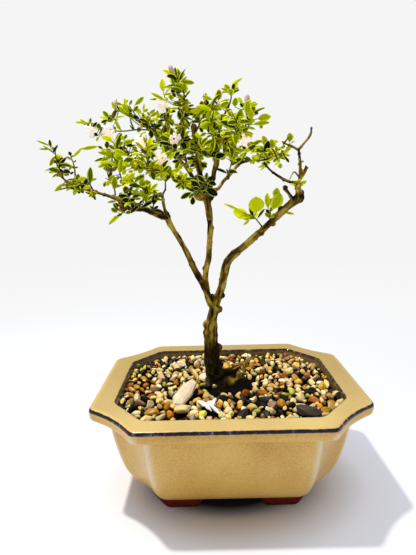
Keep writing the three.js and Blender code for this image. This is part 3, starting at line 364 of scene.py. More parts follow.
# Leaves that stand clear of the mass, on the shoot that bears them: the shoot's depth, then for each
# leaf the pixels of its foot and its tip, its breadth in pixels, and its tone.
SPRAYS = {
    "left_tip": (-16, [
        (51, 146, 36.5, 140.5, 1.6, 0.6), (52, 149, 38, 149, 1.6, 0.5), (51, 148, 49.5, 139.5, 2.6, 0.1),
        (53, 151, 58, 145, 2, 0.15), (54, 157, 50, 166, 3, 0.6), (60, 162, 57, 154, 6, 0.95),
        (60, 164, 63, 157.5, 4.6, 0.1), (53, 153, 56, 147, 2.4, 0), (56, 159, 52, 157, 2, 0.7),
        (61, 166, 67.5, 163, 3, 0.3), (60, 167, 66, 167.5, 2.2, 0.6), (57, 163, 51, 160, 2.6, 0.2),
    ]),
    "left_low": (-19, [
        (58, 171, 48.5, 172.5, 2.4, 0.6), (58, 173, 52.5, 177.5, 1.6, 0.4),
        (57, 170, 49.5, 168.5, 1.8, 0.2), (64, 183, 54.5, 191.5, 3, 0.8), (63, 175, 69.5, 174.5, 2.4, 0.5),
        (64, 181, 70, 183, 2.6, 0.6), (66, 184, 62, 186, 3, 0.7), (68, 186, 74, 189, 2.2, 0.1),
        (60, 172, 57, 177, 2.4, 0.1), (58, 169, 63, 172, 3.4, 0), (60, 176, 55, 175, 1.8, 0.6),
    ]),
    "left_curl": (-15, [
        (72, 157.5, 82, 148.5, 2.4, 0.75), (80, 149.5, 97.5, 146.5, 3.2, 0.75),
        (71, 156, 69, 151.5, 2.8, 0.1), (71, 160, 67, 156, 2, 0.6), (72, 166, 69, 170, 1.8, 0.6),
        (74, 168, 78, 167, 1.4, 0.4), (73, 163, 76, 160, 1.6, 0.3), (74, 172, 70, 174, 2, 0.1),
    ]),
    "left_middle": (-15, [
        (77, 181, 86, 177.5, 4, 0.95), (75, 180, 67, 179, 1.8, 0.6), (79, 183, 70, 185.5, 4, 0.7),
        (84, 186, 87, 178.5, 4.6, 0.2), (89, 181, 97, 178.5, 2, 0.7), (88, 180, 92.5, 175.5, 2, 0.5),
        (80, 187, 73.5, 192.5, 3.6, 0.75), (79, 188, 78.5, 194, 3, 0), (83, 188, 89, 187, 3, 0.6),
        (76, 184, 72, 181, 3.4, 0.85), (81, 186, 76, 180, 2.8, 0.5),
    ]),
    "left_front": (-20, [
        (70, 187, 64, 184, 2.4, 0.6), (75, 187, 81, 191, 2.4, 0.6), (72, 187, 70, 181, 2.8, 0.7),
    ]),
    "upright_side": (-11, [
        (107, 149, 107, 141, 4.2, 0.1), (103, 149, 98, 146, 2.4, 0.4), (112, 150, 100, 149, 2.8, 0.6),
        (113, 154, 98, 152.5, 3.6, 0.75), (110, 158, 92, 159.5, 3.2, 0.35), (112, 156, 101, 161, 3, 0.6),
        (110, 163, 97.5, 167, 3.2, 0.8), (113, 168, 103, 168.5, 5.4, 0.75),
    ]),
    "upright": (-11, [
        (117, 143, 121, 136, 4, 0.95), (116, 158, 105, 155, 4.4, 0.95), (117, 162, 108, 164, 4, 0.85),
        (116, 152, 107, 156, 4, 0.95), (118, 166, 112, 171, 3.4, 0.5), (115, 175, 109.5, 180.5, 4, 0.75),
        (109, 180, 107, 186, 3.4, 0.9), (121, 169, 126, 173, 4, 0.85), (118, 149, 126, 152, 3, 0.8),
        (118, 146, 123, 142, 3, 0.7), (117, 160, 123, 158, 3, 0.8), (119, 164, 126, 163, 3.2, 0.85),
        (115, 150, 109, 145, 3.2, 0.6), (119, 157, 113, 151, 3.6, 0.9), (119, 162, 114, 158, 3.4, 0.2),
        (121, 146, 119, 140, 3, 0.3), (113, 168, 107, 164, 2.6, 0.3), (121, 150, 116, 146, 3, 0.05),
    ]),
    "flowering": (20, [
        (96, 135, 90, 137, 3, 0.85), (98, 136, 94, 133, 3.2, 0), (95, 129, 89, 124, 4.4, 0.3),
        (93, 126, 83, 123, 4, 0.2), (89, 123, 75, 121, 3, 0.75), (90, 124, 91, 118, 3, 0.5),
        (92, 128, 97, 122, 2.6, 0.1), (99, 130, 101, 126, 2.4, 0.4), (86, 124, 80, 119, 2.4, 0.7),
        (99, 137, 96, 141, 2.8, 0.8),
    ]),
    "bud_shoot": (26, [
        (110, 119, 102, 110, 4.8, 0.45), (112, 118, 114.5, 111, 3.4, 0.2),
        (110, 119.5, 99, 116.5, 2.2, 0.85), (108, 120, 101, 122.5, 3.2, 0.3), (106, 120, 104, 125, 3, 0.55),
        (113, 119.5, 118, 119.5, 2.6, 0.6), (114, 118, 124, 115, 2, 0.8), (111, 121, 110, 115, 4.2, 0),
        (112, 121, 108, 117, 3.6, 0.05), (113, 126, 116, 130, 3, 0.6), (112, 122, 106, 119, 3, 0.5),
    ]),
    "drooping": (-15, [
        (120, 213.5, 108.5, 224.5, 3.2, 0.8), (118, 212, 111, 208.5, 4.4, 0.5),
        (118, 208, 115, 203, 5.2, 0.1), (125, 213, 131, 212, 3, 0.5), (117, 201, 107, 202, 2, 0.65),
        (121, 207, 119, 202, 3.4, 0),
    ]),
    "spur_low": (-16, [
        (114, 200, 113, 194.5, 5, 0.1), (130, 199, 118, 195, 5.4, 0), (131, 200, 122, 200, 5, 0),
        (132, 202, 133, 209, 3.6, 0), (128, 201, 135, 199, 4, 0.05), (120, 199, 115, 197, 3, 0.5),
        (126, 197, 132, 192.5, 3.6, 0.1), (123, 204, 128, 208, 4, 0), (119, 203, 124, 206, 3, 0.6),
    ]),
    "spur_middle": (-8, [
        (127, 194, 125, 186, 5.4, 0.45), (129, 194, 132, 186, 3, 0.3), (131, 195, 138, 191.5, 3.2, 0.75),
        (132, 197, 139, 195.5, 3.6, 0.2), (133, 198, 141, 199, 2.6, 0.7), (125, 196, 119, 193, 3.2, 0),
    ]),
    "spur_inner": (-4, [
        (144, 198, 143, 191, 4.6, 0.6), (142, 197, 136, 192.5, 3.4, 0.75), (146, 197, 149, 191, 3.4, 0.8),
        (144, 200, 150, 202.5, 2, 0.5), (143, 200, 139, 204, 2, 0.1), (145, 196, 140, 190, 3, 0.8),
    ]),
    "inner_left": (4, [
        (164, 178, 155, 168.5, 4.4, 0.3), (165, 178, 169, 169, 4.4, 0.5),
        (164.5, 177, 163.5, 168.5, 3.6, 0.65), (153, 178.5, 149.5, 171, 4.6, 0.9),
        (163, 178.5, 153, 178.8, 1.4, 0.7), (166, 178.5, 186, 175.5, 1.8, 0.8),
        (163, 180, 157, 180, 1.6, 0.6), (166, 177, 173, 176, 1.8, 0.8), (165, 176, 172, 171, 3, 0.3),
    ]),
    "inner_low": (-20, [
        (132, 179, 125, 178, 3.2, 0.85), (133, 178.5, 139, 178, 2.6, 0.7),
        (132.5, 179, 132.5, 173, 3.4, 0.3), (131, 178, 126, 174, 3, 0.9), (133, 180, 130, 184, 2.6, 0.8),
        (125, 180, 135, 173, 3.6, 0.85), (150, 191, 157.5, 183.5, 3.2, 0.85),
        (148, 191, 150, 185, 2.6, 0.6), (153, 195, 148, 200, 2.2, 0.5), (154, 199, 164, 200, 2.4, 0.3),
        (157, 194, 162, 192.5, 1.6, 0.3),
    ]),
    "top": (8, [
        (175, 87, 173, 76, 6.8, 0.6), (181, 77.5, 174.5, 67.5, 5, 0.5), (184, 95, 184.5, 83, 6.4, 0.75),
        (181, 81.5, 194, 82.8, 4.2, 0.6), (174, 87.5, 162.3, 86.5, 2.8, 0.7),
        (175, 87.5, 171.5, 92.5, 4.6, 0), (173, 93, 163.5, 94.8, 1.8, 0.6), (179, 81, 184, 73, 2.2, 0.7),
        (180, 82.5, 187, 76.5, 2.2, 0.75), (183, 77, 183.5, 72, 3, 0.9), (177, 86, 179, 79, 2.6, 0.5),
        (176, 90, 180, 93.5, 4, 0), (176, 97, 172, 93, 3.6, 0), (171, 100, 171, 94.5, 5.4, 0.6),
        (168, 101, 165, 97, 3, 0.8), (167, 101.5, 151, 93, 3, 0.8), (185, 97, 190.5, 90.5, 2, 0.5),
        (178, 101, 184, 96, 4, 0.4), (181, 96, 185, 101, 3.4, 0.1), (177, 108, 190.5, 102, 3.4, 0.85),
        (176, 101, 181, 105, 4.4, 0.5), (179, 105, 173, 103, 3.4, 0.6), (183, 100, 187, 95, 2.8, 0.2),
        (176, 94, 183, 97.5, 3.4, 0.55),
    ]),
    "top_left": (24, [
        (134, 106, 143.8, 96.8, 4.2, 0.7), (129, 117, 117, 105.5, 6.2, 0.6),
        (131, 109, 120.5, 104.5, 4.6, 0.8), (128, 115.5, 139.5, 118.5, 4.8, 0.1),
        (126, 106, 124.5, 97.5, 2.8, 0.85), (129, 105, 132, 100, 3, 0.6), (122, 105, 116.5, 103, 2.8, 0.75),
        (129, 106, 129, 114.5, 5.6, 0.2), (135, 108, 141, 113, 4.6, 0.95),
        (143, 112, 144.2, 103.5, 2.4, 0.85), (133, 112, 138, 106, 3.4, 0.5), (132, 114, 125, 113, 3.6, 0.4),
        (124, 104, 128, 100, 2.4, 0.7),
    ]),
    "front_tip": (-13, [
        (132, 141, 124, 143, 4, 0.7), (136, 145, 126, 145.5, 3.4, 0.1), (122, 146, 121, 151, 4.4, 0),
        (128, 143, 135, 139.5, 3, 0.8), (125, 140, 121, 135.5, 3, 0.7), (124, 139, 127, 134.5, 2.6, 0.5),
        (127, 149, 120, 148, 3.4, 0), (132, 150, 137, 148, 3.6, 0.2), (130, 152, 135, 155, 3, 0.7),
    ]),
    "front_up": (-21, [
        (134, 140.5, 147, 150.5, 3, 0.85), (138, 146, 145, 143, 2.8, 0.8), (140, 150, 147, 152, 3.4, 0.1),
        (139, 152, 133, 149, 3, 0.5), (143, 153, 150, 155, 3.4, 0.75), (146, 139, 139, 136, 2, 0.6),
        (146, 131.5, 139.3, 136, 2.4, 0.6),
    ]),
    "front_knee": (-11, [
        (128, 165, 139, 162.5, 5, 0.9), (132, 168, 139, 168.5, 4.4, 0.85),
        (138, 169, 141.5, 173, 3.4, 0.85), (131, 166, 123, 164, 3.8, 0.9), (127, 170, 122, 174, 3.8, 0.85),
        (134, 171, 128, 172, 2.6, 0.8), (141, 163, 143, 156, 4.2, 0.6), (140, 161, 134, 157, 3.4, 0.3),
        (146, 166, 151, 160, 3, 0.3), (149, 166, 155, 165, 2.2, 0), (135, 162, 130, 158, 3.4, 0.8),
        (122, 166, 127, 160, 3, 0.85),
    ]),
    "back_front": (19, [
        (150, 129, 151.5, 138, 6, 0.2), (147, 130, 147, 122.5, 4, 0.1), (153, 142, 147, 146.5, 3.6, 0.7),
        (152, 140, 146, 140.5, 3.2, 0.8), (158, 145, 152, 152, 4.2, 0.7), (157, 149, 151, 150, 2.8, 0.2),
        (161, 148, 168, 152, 3.4, 0.3), (160, 152, 165, 155, 3.4, 0.1), (154, 154, 150, 157, 3, 0.8),
        (160, 143, 156, 138, 3.2, 0.6), (158, 158, 153, 154, 3.4, 0.75), (163, 141, 160, 147, 3.2, 0.2),
    ]),
    "back_far": (38, [
        (141, 117.5, 151, 118, 3.4, 0.8), (150, 117, 158, 112, 3.4, 0.75),
        (155, 118.5, 163.5, 112.5, 3.4, 0.85), (152, 118, 160, 121, 3.6, 0.7),
        (139, 119, 147.5, 122.5, 4.2, 0.1), (143, 112, 148, 109, 3, 0.75), (149, 114, 155, 109.5, 3, 0.7),
        (146, 117, 141, 113, 3.4, 0.6), (150, 121, 146, 125.5, 3.8, 0.15), (157, 121, 163, 124, 4.4, 0.5),
        (151, 116, 147, 112, 2.8, 0.8), (158, 116, 157, 110, 2.6, 0.8), (160, 118, 166, 115, 3, 0.9),
        (144, 120, 149, 116, 3.2, 0.3),
    ]),
    "back_tip": (37, [
        (166, 106, 161.5, 103.5, 2.6, 0.8), (167, 107, 173, 110, 3.4, 0.7), (168, 112, 175, 111, 3, 0.6),
        (170, 118, 173.5, 125, 4.4, 0.7), (168, 125, 170, 133, 4.6, 0.65), (168, 112, 162, 110, 2.8, 0.6),
        (170, 109, 178, 108.5, 3.4, 0.9), (172, 115, 167, 119, 3.2, 0.75),
        (174, 128, 182, 128.5, 3.4, 0.45), (176, 132, 184, 130, 3.4, 0.8), (172, 134, 179, 137, 3.2, 0.2),
    ]),
    "sprout": (15, [
        (177.5, 111, 182, 120.5, 5.6, 0.3), (184, 128, 190, 121, 5.6, 0.85),
        (190, 122, 200.5, 120.5, 3.2, 0.4), (186, 113, 195, 114.5, 3.2, 0.2),
        (189, 108.5, 200, 109.5, 1.8, 0.1), (183, 111, 192, 112, 3.6, 0.7), (186, 117, 181, 121, 3.8, 0.05),
        (188, 125, 183, 131, 4, 0.8), (190, 131, 184, 135, 3.2, 0.85), (192, 118, 197, 114, 3, 0.5),
        (187, 107, 194, 105, 2.4, 0.4), (180, 126, 174, 124, 3.4, 0.6), (184, 144, 189, 148, 4.4, 0.75),
        (190, 136, 184, 138.5, 3, 0.1),
    ]),
    "heart": (0, [
        (205, 188, 217.5, 195.2, 7.2, 0), (208, 182.5, 198.6, 190.5, 7.4, 0.1),
        (200, 187, 189.5, 181, 6.4, 0), (197, 193, 188.5, 183.5, 5.4, 0.3),
        (192, 192, 180.6, 198.6, 4.8, 0.25), (193, 196, 192.3, 204.8, 4.8, 0),
        (205, 183, 197.5, 175.5, 4.8, 0.1), (207, 182, 216.3, 184.5, 4.8, 0.1),
        (206, 181, 207, 172.5, 3.6, 0.4), (206, 182, 213.5, 176.8, 4.8, 0.05),
        (194, 193, 188.5, 198, 3.6, 0.45), (203, 188, 211, 191, 4, 0), (201, 190, 196, 194.5, 4, 0),
        (204, 186, 210, 186, 3.6, 0), (203, 185, 199, 181, 4, 0), (202, 189, 205, 193.5, 3.4, 0),
        (199, 189, 193, 188, 3.8, 0.05), (206, 183, 210, 180, 3, 0.3),
    ]),
    "middle_up": (3, [
        (218.5, 101, 219, 89.5, 5.8, 0.55), (213, 100, 202.3, 95.8, 3, 0.75),
        (206.5, 106, 206, 99.5, 5, 0.1), (211, 111, 211, 102.5, 5.4, 0.8), (215, 108, 211, 101, 2.4, 0.7),
        (218, 104.5, 213, 99.5, 2.4, 0.4), (219, 107.5, 228.5, 102, 5.2, 0.6),
        (220, 102, 229.5, 99.5, 2.4, 0.8), (216, 109, 222, 109, 3, 0.8), (222, 108, 228, 106, 3, 0.3),
        (207, 111, 190, 111, 4.2, 0.95), (206, 112, 196, 114.5, 3, 0.9), (209, 113, 209, 126.5, 5.4, 0.85),
        (209, 125, 218, 140, 5, 0.75), (205, 113, 203, 119, 3.2, 0.3), (214, 112, 220, 115, 3, 0.85),
        (212, 113, 206, 116, 4.2, 0.95),
    ]),
    "crown": (19, [
        (232, 92, 236.5, 79.8, 5.4, 0.75), (230, 91.5, 224.5, 84.5, 4.8, 0.7),
        (232, 90, 234.5, 83.5, 3.4, 0.1), (230, 91, 221, 88.4, 1.8, 0.5), (233, 92, 239.5, 89.8, 2, 0.3),
        (233, 94, 238, 87, 3, 0.8), (231, 93, 227, 90, 3, 0.2),
    ]),
    "middle_tip": (-17, [
        (235, 107, 235.5, 97.5, 5.6, 0.55), (243, 104, 237.8, 96.8, 2.8, 0.85),
        (246, 105, 248.5, 101, 3, 0.8), (250, 107, 258, 103.5, 2.6, 0.85), (250, 105, 256, 101.8, 2.2, 0.8),
        (252, 120, 249, 108, 5.8, 0.85), (254, 114, 253, 105, 3.8, 0.55),
        (257, 119, 270.8, 116.5, 5.6, 0.8), (252, 124.5, 269.8, 122, 3.4, 0.8),
        (245, 127, 256, 128.5, 2.4, 0.85), (244, 132, 253.5, 134.3, 2.6, 0.95),
        (260, 124, 262, 128.5, 3.2, 0.6), (247, 119, 255, 121, 3.6, 0.9), (246, 122, 251, 125, 3, 0.9),
        (243, 108, 240, 103, 2.8, 0.2), (246, 107, 242, 103.5, 2.6, 0.1), (255, 115, 258, 112, 2.8, 0.5),
    ]),
    "middle_elbow": (-20, [
        (240, 118, 243.5, 124.5, 4.8, 0.65), (236, 131, 236, 120.5, 4.4, 0.6),
        (226, 124, 232.5, 129.5, 3.4, 0.7), (222, 119, 229, 118, 3, 0.85), (232, 117, 228, 111, 3.4, 0.6),
        (231, 117, 236, 113, 3, 0.8), (240, 128, 246, 126, 3, 0.9), (238, 120, 243, 117, 3, 0.85),
        (224, 130, 230, 132, 3.2, 0.8), (229, 122, 234, 118, 3.2, 0.7), (233, 125, 228, 127, 3.4, 0.5),
        (222, 125, 217, 121, 3.2, 0.75), (226, 131, 221, 134, 3.2, 0.9), (239, 131, 243, 129, 3, 0.8),
        (231, 109, 226, 112, 2.8, 0.5),
    ]),
    "middle_right": (-6, [
        (232, 140, 239.5, 142, 6, 0.6), (235, 149, 233, 142.5, 4.4, 0.6), (222, 141, 226.5, 134.5, 4, 0.6),
        (224, 150, 235, 153, 5, 0.9), (229, 151, 240, 149, 4.4, 0.95), (223, 144, 218, 147.5, 2.6, 0.8),
        (231, 158, 238, 154, 4.4, 0.8), (234, 148, 243, 152, 4, 0.85), (226, 157, 219, 158.5, 1.8, 0.7),
        (236, 160, 229, 157, 3.4, 0.85), (243, 151, 250, 150, 3.4, 0.9), (247, 149, 242, 146, 3, 0.2),
        (224, 147, 229, 143, 3.4, 0.75), (239, 158, 244, 153, 3, 0.8), (231, 155, 224, 153, 4, 0.95),
    ]),
    "middle_left": (-6, [
        (203, 145, 213.5, 139.8, 3.8, 0.5), (196, 151, 190, 145.5, 4.6, 0.1),
        (200, 155, 210.5, 151.5, 3.6, 0.1), (198, 150, 204, 146, 3.4, 0.8), (204, 149, 212, 148, 4.2, 0.6),
        (196, 156, 188, 158.5, 3.6, 0.15), (191, 152, 184, 150, 3.6, 0.6), (197, 158, 204, 159, 3.2, 0.7),
        (206, 144, 211, 147, 3.8, 0.8), (188, 152, 182, 156, 3.4, 0.3), (193, 160, 187, 164, 3.4, 0.85),
        (194, 163, 199, 168, 3.6, 0.9), (203, 133, 200, 127, 3.4, 0.2), (200, 136, 206, 133, 3.2, 0.6),
        (199, 138, 196, 132, 3, 0.8), (186, 150, 170, 153.5, 2.6, 0.8), (176, 151, 168, 160.5, 3.6, 0.7),
        (177, 149, 173.5, 144, 5.4, 0), (180, 152, 175, 156, 4, 0), (187, 168, 193, 171, 3.6, 0.9),
        (183, 165, 178, 169, 3.6, 0.85),
    ]),
    "far_right_tip": (23, [
        (289.5, 142.5, 289.5, 132.8, 6.8, 0.6), (287, 144, 281.5, 141.5, 2.8, 0.5),
        (283, 152, 291, 148.5, 3, 0.85), (286, 147, 294, 147.5, 2, 0.8), (281, 149, 285, 145, 3.2, 0.7),
        (291, 143, 295, 141, 1.8, 0.5),
    ]),
    "far_right_up": (33, [
        (250, 141, 254.5, 148, 5, 0.8), (251, 149, 261, 146, 3.8, 0.7), (254, 150, 249, 144, 3.8, 0.7),
        (241, 156, 248, 151, 3, 0.85), (257, 150, 250, 152.5, 3, 0.9), (260, 157, 257, 152, 3, 0.7),
        (259, 158, 262, 153, 2.4, 0.5), (246, 148, 241, 151, 3, 0.6),
    ]),
    "far_right_back": (36, [
        (272.5, 149.5, 271.5, 139, 7.2, 0.65), (269, 147.5, 264.8, 141, 2.8, 0.6),
        (264, 150, 258, 146.5, 4.2, 0.7), (278, 149, 285, 146.5, 3.2, 0.75),
        (277, 160, 288, 151, 3.2, 0.75), (280, 163, 280.5, 168.5, 4.4, 0.8), (268, 158, 264, 152, 4, 0.5),
        (270, 156, 277, 152.5, 3.8, 0.8), (265, 151, 263, 156, 3.2, 0.1), (274, 155, 281, 155, 3.4, 0.9),
        (272, 152, 266, 149, 3.6, 0.75), (278, 158, 273, 162, 3.4, 0.6), (284, 154, 290, 156, 2.6, 0.85),
        (280, 160, 275, 165, 3.4, 0.85), (276, 151, 281, 147.5, 3, 0.2),
    ]),
    "far_right_low": (18, [
        (226, 158, 220, 159.5, 2, 0.6), (231, 160, 237, 161, 2.2, 0.85), (232, 159, 228, 154, 3.4, 0.8),
    ]),
    "lime_left": (-14, [
        (255.5, 214, 256.5, 197, 13.5, 1), (249.5, 218.5, 233.5, 210, 8.4, 0.9),
        (241, 211, 224.5, 203.3, 2.2, 0.95), (253, 218, 249, 207.5, 4.6, 0.15),
        (250, 219.5, 243.5, 225, 2.2, 0.75), (257, 219, 264.5, 208, 2.4, 0.3),
        (250.5, 218.5, 243, 218.3, 3.4, 0.85), (253, 219, 257, 213, 4, 0.9), (254, 219, 246, 214, 3.4, 0.7),
    ]),
    "lime_right": (-12, [
        (272, 210, 280.5, 193.5, 10.2, 0.75), (275, 198.5, 277.5, 187.8, 5.8, 0.8),
        (268.5, 210, 267.5, 192.5, 4.8, 0.85), (270, 218, 265, 212.5, 3, 0.6),
        (270, 218, 275, 214.5, 3.2, 0.9), (269.5, 214, 266, 209, 2.8, 0.2), (270, 212, 273, 206, 3, 0.3),
        (269, 204, 272, 198, 2.8, 0.7), (276, 213.5, 271, 216, 2.4, 0.9),
        (283, 211.8, 294.5, 214, 2.2, 0.75),
    ]),
    "right_low": (-17, [
        (299, 184.5, 288.3, 181.5, 3.8, 0.95), (300, 184, 306.5, 181, 3, 0.9),
        (298, 186, 294, 184.5, 3.4, 1), (300, 183, 299, 178.5, 3, 0.95), (299, 186, 303, 183.5, 3, 0.95),
    ]),
    "right_tip": (-15, [
        (300, 168, 302.5, 173, 3.2, 0.9), (299, 166, 299, 162, 2.4, 0.9), (301, 162, 304, 161, 1.8, 0.7),
    ]),
}
# The share of the leaf pairs that stay between those, where a shoot is thick with leaves.
FILL = {
    "lime_left": 0, "lime_right": 0, "left_low": 0, "left_tip": 0.2, "left_curl": 0.1,
    "left_middle": 0.3, "left_front": 0, "drooping": 0.1, "right_low": 0, "right_tip": 0,
    "far_right_tip": 0.1, "crown": 0.15, "top": 0.35, "inner_left": 0.2, "inner_low": 0.25,
    "upright_side": 0.3, "bud_shoot": 0.35, "flowering": 0.4, "heart": 0, "top_left": 0.35,
    "middle_tip": 0.4,
}
USUAL_FILL = 0.6

# Old wood that still carries knots of small leaves: the shoot they are counted with, the stretch of
# the limb, the gap from knot to knot, and the tone.
TUFTS = {
    "front_left": ("front_knee", 0.3, 1.0, 5, 0.6),
    "back_left": ("back_front", 0.35, 1.0, 4.5, 0.45),
    "leader": ("top", 0.2, 1.0, 4.5, 0.4),
    "back_rise": ("top_left", 0.0, 1.0, 5, 0.55),
    "cut_stub": ("sprout", 0.3, 0.8, 6, 0.4),
    "middle": ("middle_elbow", 0.35, 0.97, 5, 0.6),
    "middle_top": ("middle_up", 0.0, 1.0, 4.5, 0.6),
    "crown": ("middle_right", 0.05, 0.5, 5, 0.5),
    "back": ("back_tip", 0.25, 1.0, 4.5, 0.4),
    "far_right": ("far_right_back", 0.7, 1.0, 7, 0.65),
    "far_left": ("left_middle", 0.66, 0.92, 9, 0.45),
    "knuckle_left": ("inner_low", 0.4, 1.0, 7, 0.7),
}


# ---------------------------------------------------------------- shaders
def srgb(code, alpha=1.0):
    """An sRGB hex colour as the linear colour that a shader takes."""
    channels = [((code >> shift) & 255) / 255 for shift in (16, 8, 0)]
    linear = [c / 12.92 if c <= 0.04045 else ((c + 0.055) / 1.055) ** 2.4 for c in channels]
    return (*linear, alpha)


def finish(name):
    made = bpy.data.materials.new(name)
    made.use_nodes = True
    made.node_tree.nodes.clear()
    return made


def add(material, kind, inputs=None, stops=(), **settings):
    """Adds one shader node. An input takes a value, or the output of the node that feeds it."""
    made = material.node_tree.nodes.new(kind)
    for name, value in settings.items():
        setattr(made, name, value)
    for name, value in (inputs or {}).items():
        if isinstance(value, bpy.types.NodeSocket):
            material.node_tree.links.new(value, made.inputs[name])
        else:
            made.inputs[name].default_value = value
    if stops:
        ramp = made.color_ramp.elements
        ramp.remove(ramp[1])
        ramp[0].position = stops[0][0]
        ramp[0].color = srgb(stops[0][1])
        for place, code in stops[1:]:
            ramp.new(place).color = srgb(code)
    return made


FACTOR, FIRST, SECOND, RESULT = 0, 6, 7, 2  # sockets of a colour mix


def own_place(material):
    """The place on the piece, in metres, so that a pattern keeps its size and stays with it."""
    return add(material, "ShaderNodeTexCoord").outputs["Object"]


def carried(material, name):
    """A value that the mesh carries at its vertices."""
    return add(material, "ShaderNodeAttribute", attribute_name=name).outputs["Fac"]


def clouds(material, place, size, detail, roughness=0.5):
    """Fractal noise from 0 to 1, with features of a size in millimetres."""
    inputs = {"Vector": place, "Scale": 1 / (size * MM), "Detail": detail, "Roughness": roughness}
    return add(material, "ShaderNodeTexNoise", inputs).outputs["Fac"]


def maths(material, operation, *values):
    """A sum, worked out from outputs and numbers."""
    return add(material, "ShaderNodeMath", dict(enumerate(values)), operation=operation).outputs[0]


def ranged(material, value, start, end, low, high):
    """A value's stretch from start to end, spread over low to high and held at both."""
    inputs = {"Value": value, "From Min": start, "From Max": end, "To Min": low, "To Max": high}
    return add(material, "ShaderNodeMapRange", inputs).outputs[0]


def shades(material, value, *stops):
    """The colour for a value, between stops of a value and an sRGB code each."""
    return add(material, "ShaderNodeValToRGB", {"Fac": value}, stops=stops).outputs[0]


def blend(material, share, first, second):
    """The first colour with a share of the second, each an output or an sRGB code."""
    first, second = (srgb(each) if isinstance(each, int) else each for each in (first, second))
    inputs = {FACTOR: share, FIRST: first, SECOND: second}
    return add(material, "ShaderNodeMix", inputs, data_type="RGBA", blend_type="MIX").outputs[RESULT]


def relief_of(material, height, strength, depth):
    """The surface's direction when a pattern stands out by a depth in millimetres."""
    inputs = {"Height": height, "Strength": strength, "Distance": depth * MM}
    return add(material, "ShaderNodeBump", inputs).outputs[0]


def closed(material, colour, roughness, ior, through=0.0, **settings):
    """Gives a material its surface, of which a share lets the light through."""
    inputs = {"Base Color": colour, "Roughness": roughness, "IOR": ior}
    inputs.update({name.replace("_", " "): value for name, value in settings.items()})
    shader = add(material, "ShaderNodeBsdfPrincipled", inputs).outputs[0]
    if through:
        lit = add(material, "ShaderNodeBsdfTranslucent", {"Color": colour}).outputs[0]
        shader = add(material, "ShaderNodeMixShader", {0: through, 1: shader, 2: lit}).outputs[0]
    add(material, "ShaderNodeOutputMaterial", {"Surface": shader})
    return material


def glazed_stoneware():
    """Reduction-fired stoneware under a satin glaze: khaki gold and finely sandy, with painted highlights
    along the corners and on the rim's top, a duller painted sunlit top, and painted shade inside and under
    the lip. Worn cobalt, partly greyed into painted glints, lines the edges of the rim."""
    made = finish("satin glazed stoneware")
    place = own_place(made)
    grain = clouds(made, place, 0.8, 3.0)
    cloud = clouds(made, place, 30, 3.0)
    tone = maths(made, "MULTIPLY", maths(made, "ADD", grain, cloud), 0.5)
    glaze = shades(made, tone, (0.32, 0xBD8E37), (0.45, 0xD1A245), (0.56, 0xDEB254), (0.72, 0xEAC26A))
    height = add(made, "ShaderNodeSeparateXYZ", {"Vector": place}).outputs["Z"]
    low = ranged(made, height, 0.006, 0.04, 0.25, 0.0)
    footed = blend(made, low, glaze, 0x9E7428)
    cells = add(made, "ShaderNodeTexVoronoi", {"Vector": place, "Scale": 1 / (9 * MM), "Randomness": 1.0})
    speck = ranged(made, cells.outputs["Distance"], 0.025, 0.05, 0.7, 0.0)
    ironed = blend(made, speck, footed, 0x4A3620)
    # Painted highlights: pale cream down the notches' corners and on the rim's top at the front.
    painted_highlights = blend(made, carried(made, "pale"), ironed, 0xF4EAD6)
    # Painted sunlit sheen: faces that look up, as the rim's flat top, are turned a duller, greyer gold than
    # the walls.
    facing = add(made, "ShaderNodeNewGeometry").outputs["Normal"]
    upward = add(made, "ShaderNodeSeparateXYZ", {"Vector": facing}).outputs["Z"]
    painted_sunlit_top = blend(made, ranged(made, upward, 0.8, 0.97, 0.0, 0.5), painted_highlights, 0xBAAD73)
    # Cobalt along the edges, rubbed to grey in short lengths, its lilac grey partly painted glints.
    edge = carried(made, "edge")
    wear_and_glint_noise = clouds(made, place, 3, 4.0, 0.65)
    line = maths(made, "MULTIPLY", edge, ranged(made, wear_and_glint_noise, 0.42, 0.66, 1.0, 0.7))
    inked = ranged(made, line, 0.3, 0.5, 0.0, 1.0)
    worn_and_glinting = shades(made, wear_and_glint_noise, (0.48, 0x05041A), (0.6, 0x1A1636), (0.7, 0x7C6E9A))
    banded = blend(made, inked, painted_sunlit_top, worn_and_glinting)
    # Painted shade: the inside wall above the gravel and the groove under the lip are darkened to brown, and
    # so are the rim's top towards its back and its sides.
    stain = carried(made, "stain")
    shade_paint = maths(made, "MULTIPLY", stain, ranged(made, cloud, 0.3, 0.7, 0.75, 1.0))
    shaded_glaze = blend(made, shade_paint, banded, 0x2F2411)
    bump = relief_of(made, grain, 0.2, 0.1)
    gloss = ranged(made, grain, 0.3, 0.7, 0.26, 0.42)
    # the cobalt fires to a higher gloss than the glaze round it
    rough = maths(made, "MULTIPLY", gloss, ranged(made, inked, 0.0, 1.0, 1.0, 0.35))
    return closed(made, shaded_glaze, rough, 1.52, Normal=bump)


def bare_clay():
    """The same body left unglazed: iron-red and dry, with open grog that gives it a sandpaper face."""
    made = finish("unglazed red stoneware")
    grog = clouds(made, own_place(made), 0.9, 4.0)
    colour = shades(made, grog, (0.3, 0x3A0B03), (0.55, 0x65180A), (0.75, 0x852C16))
    bump = relief_of(made, grog, 0.5, 0.2)
    return closed(made, colour, 0.82, 1.5, Specular_IOR_Level=0.15, Normal=bump)


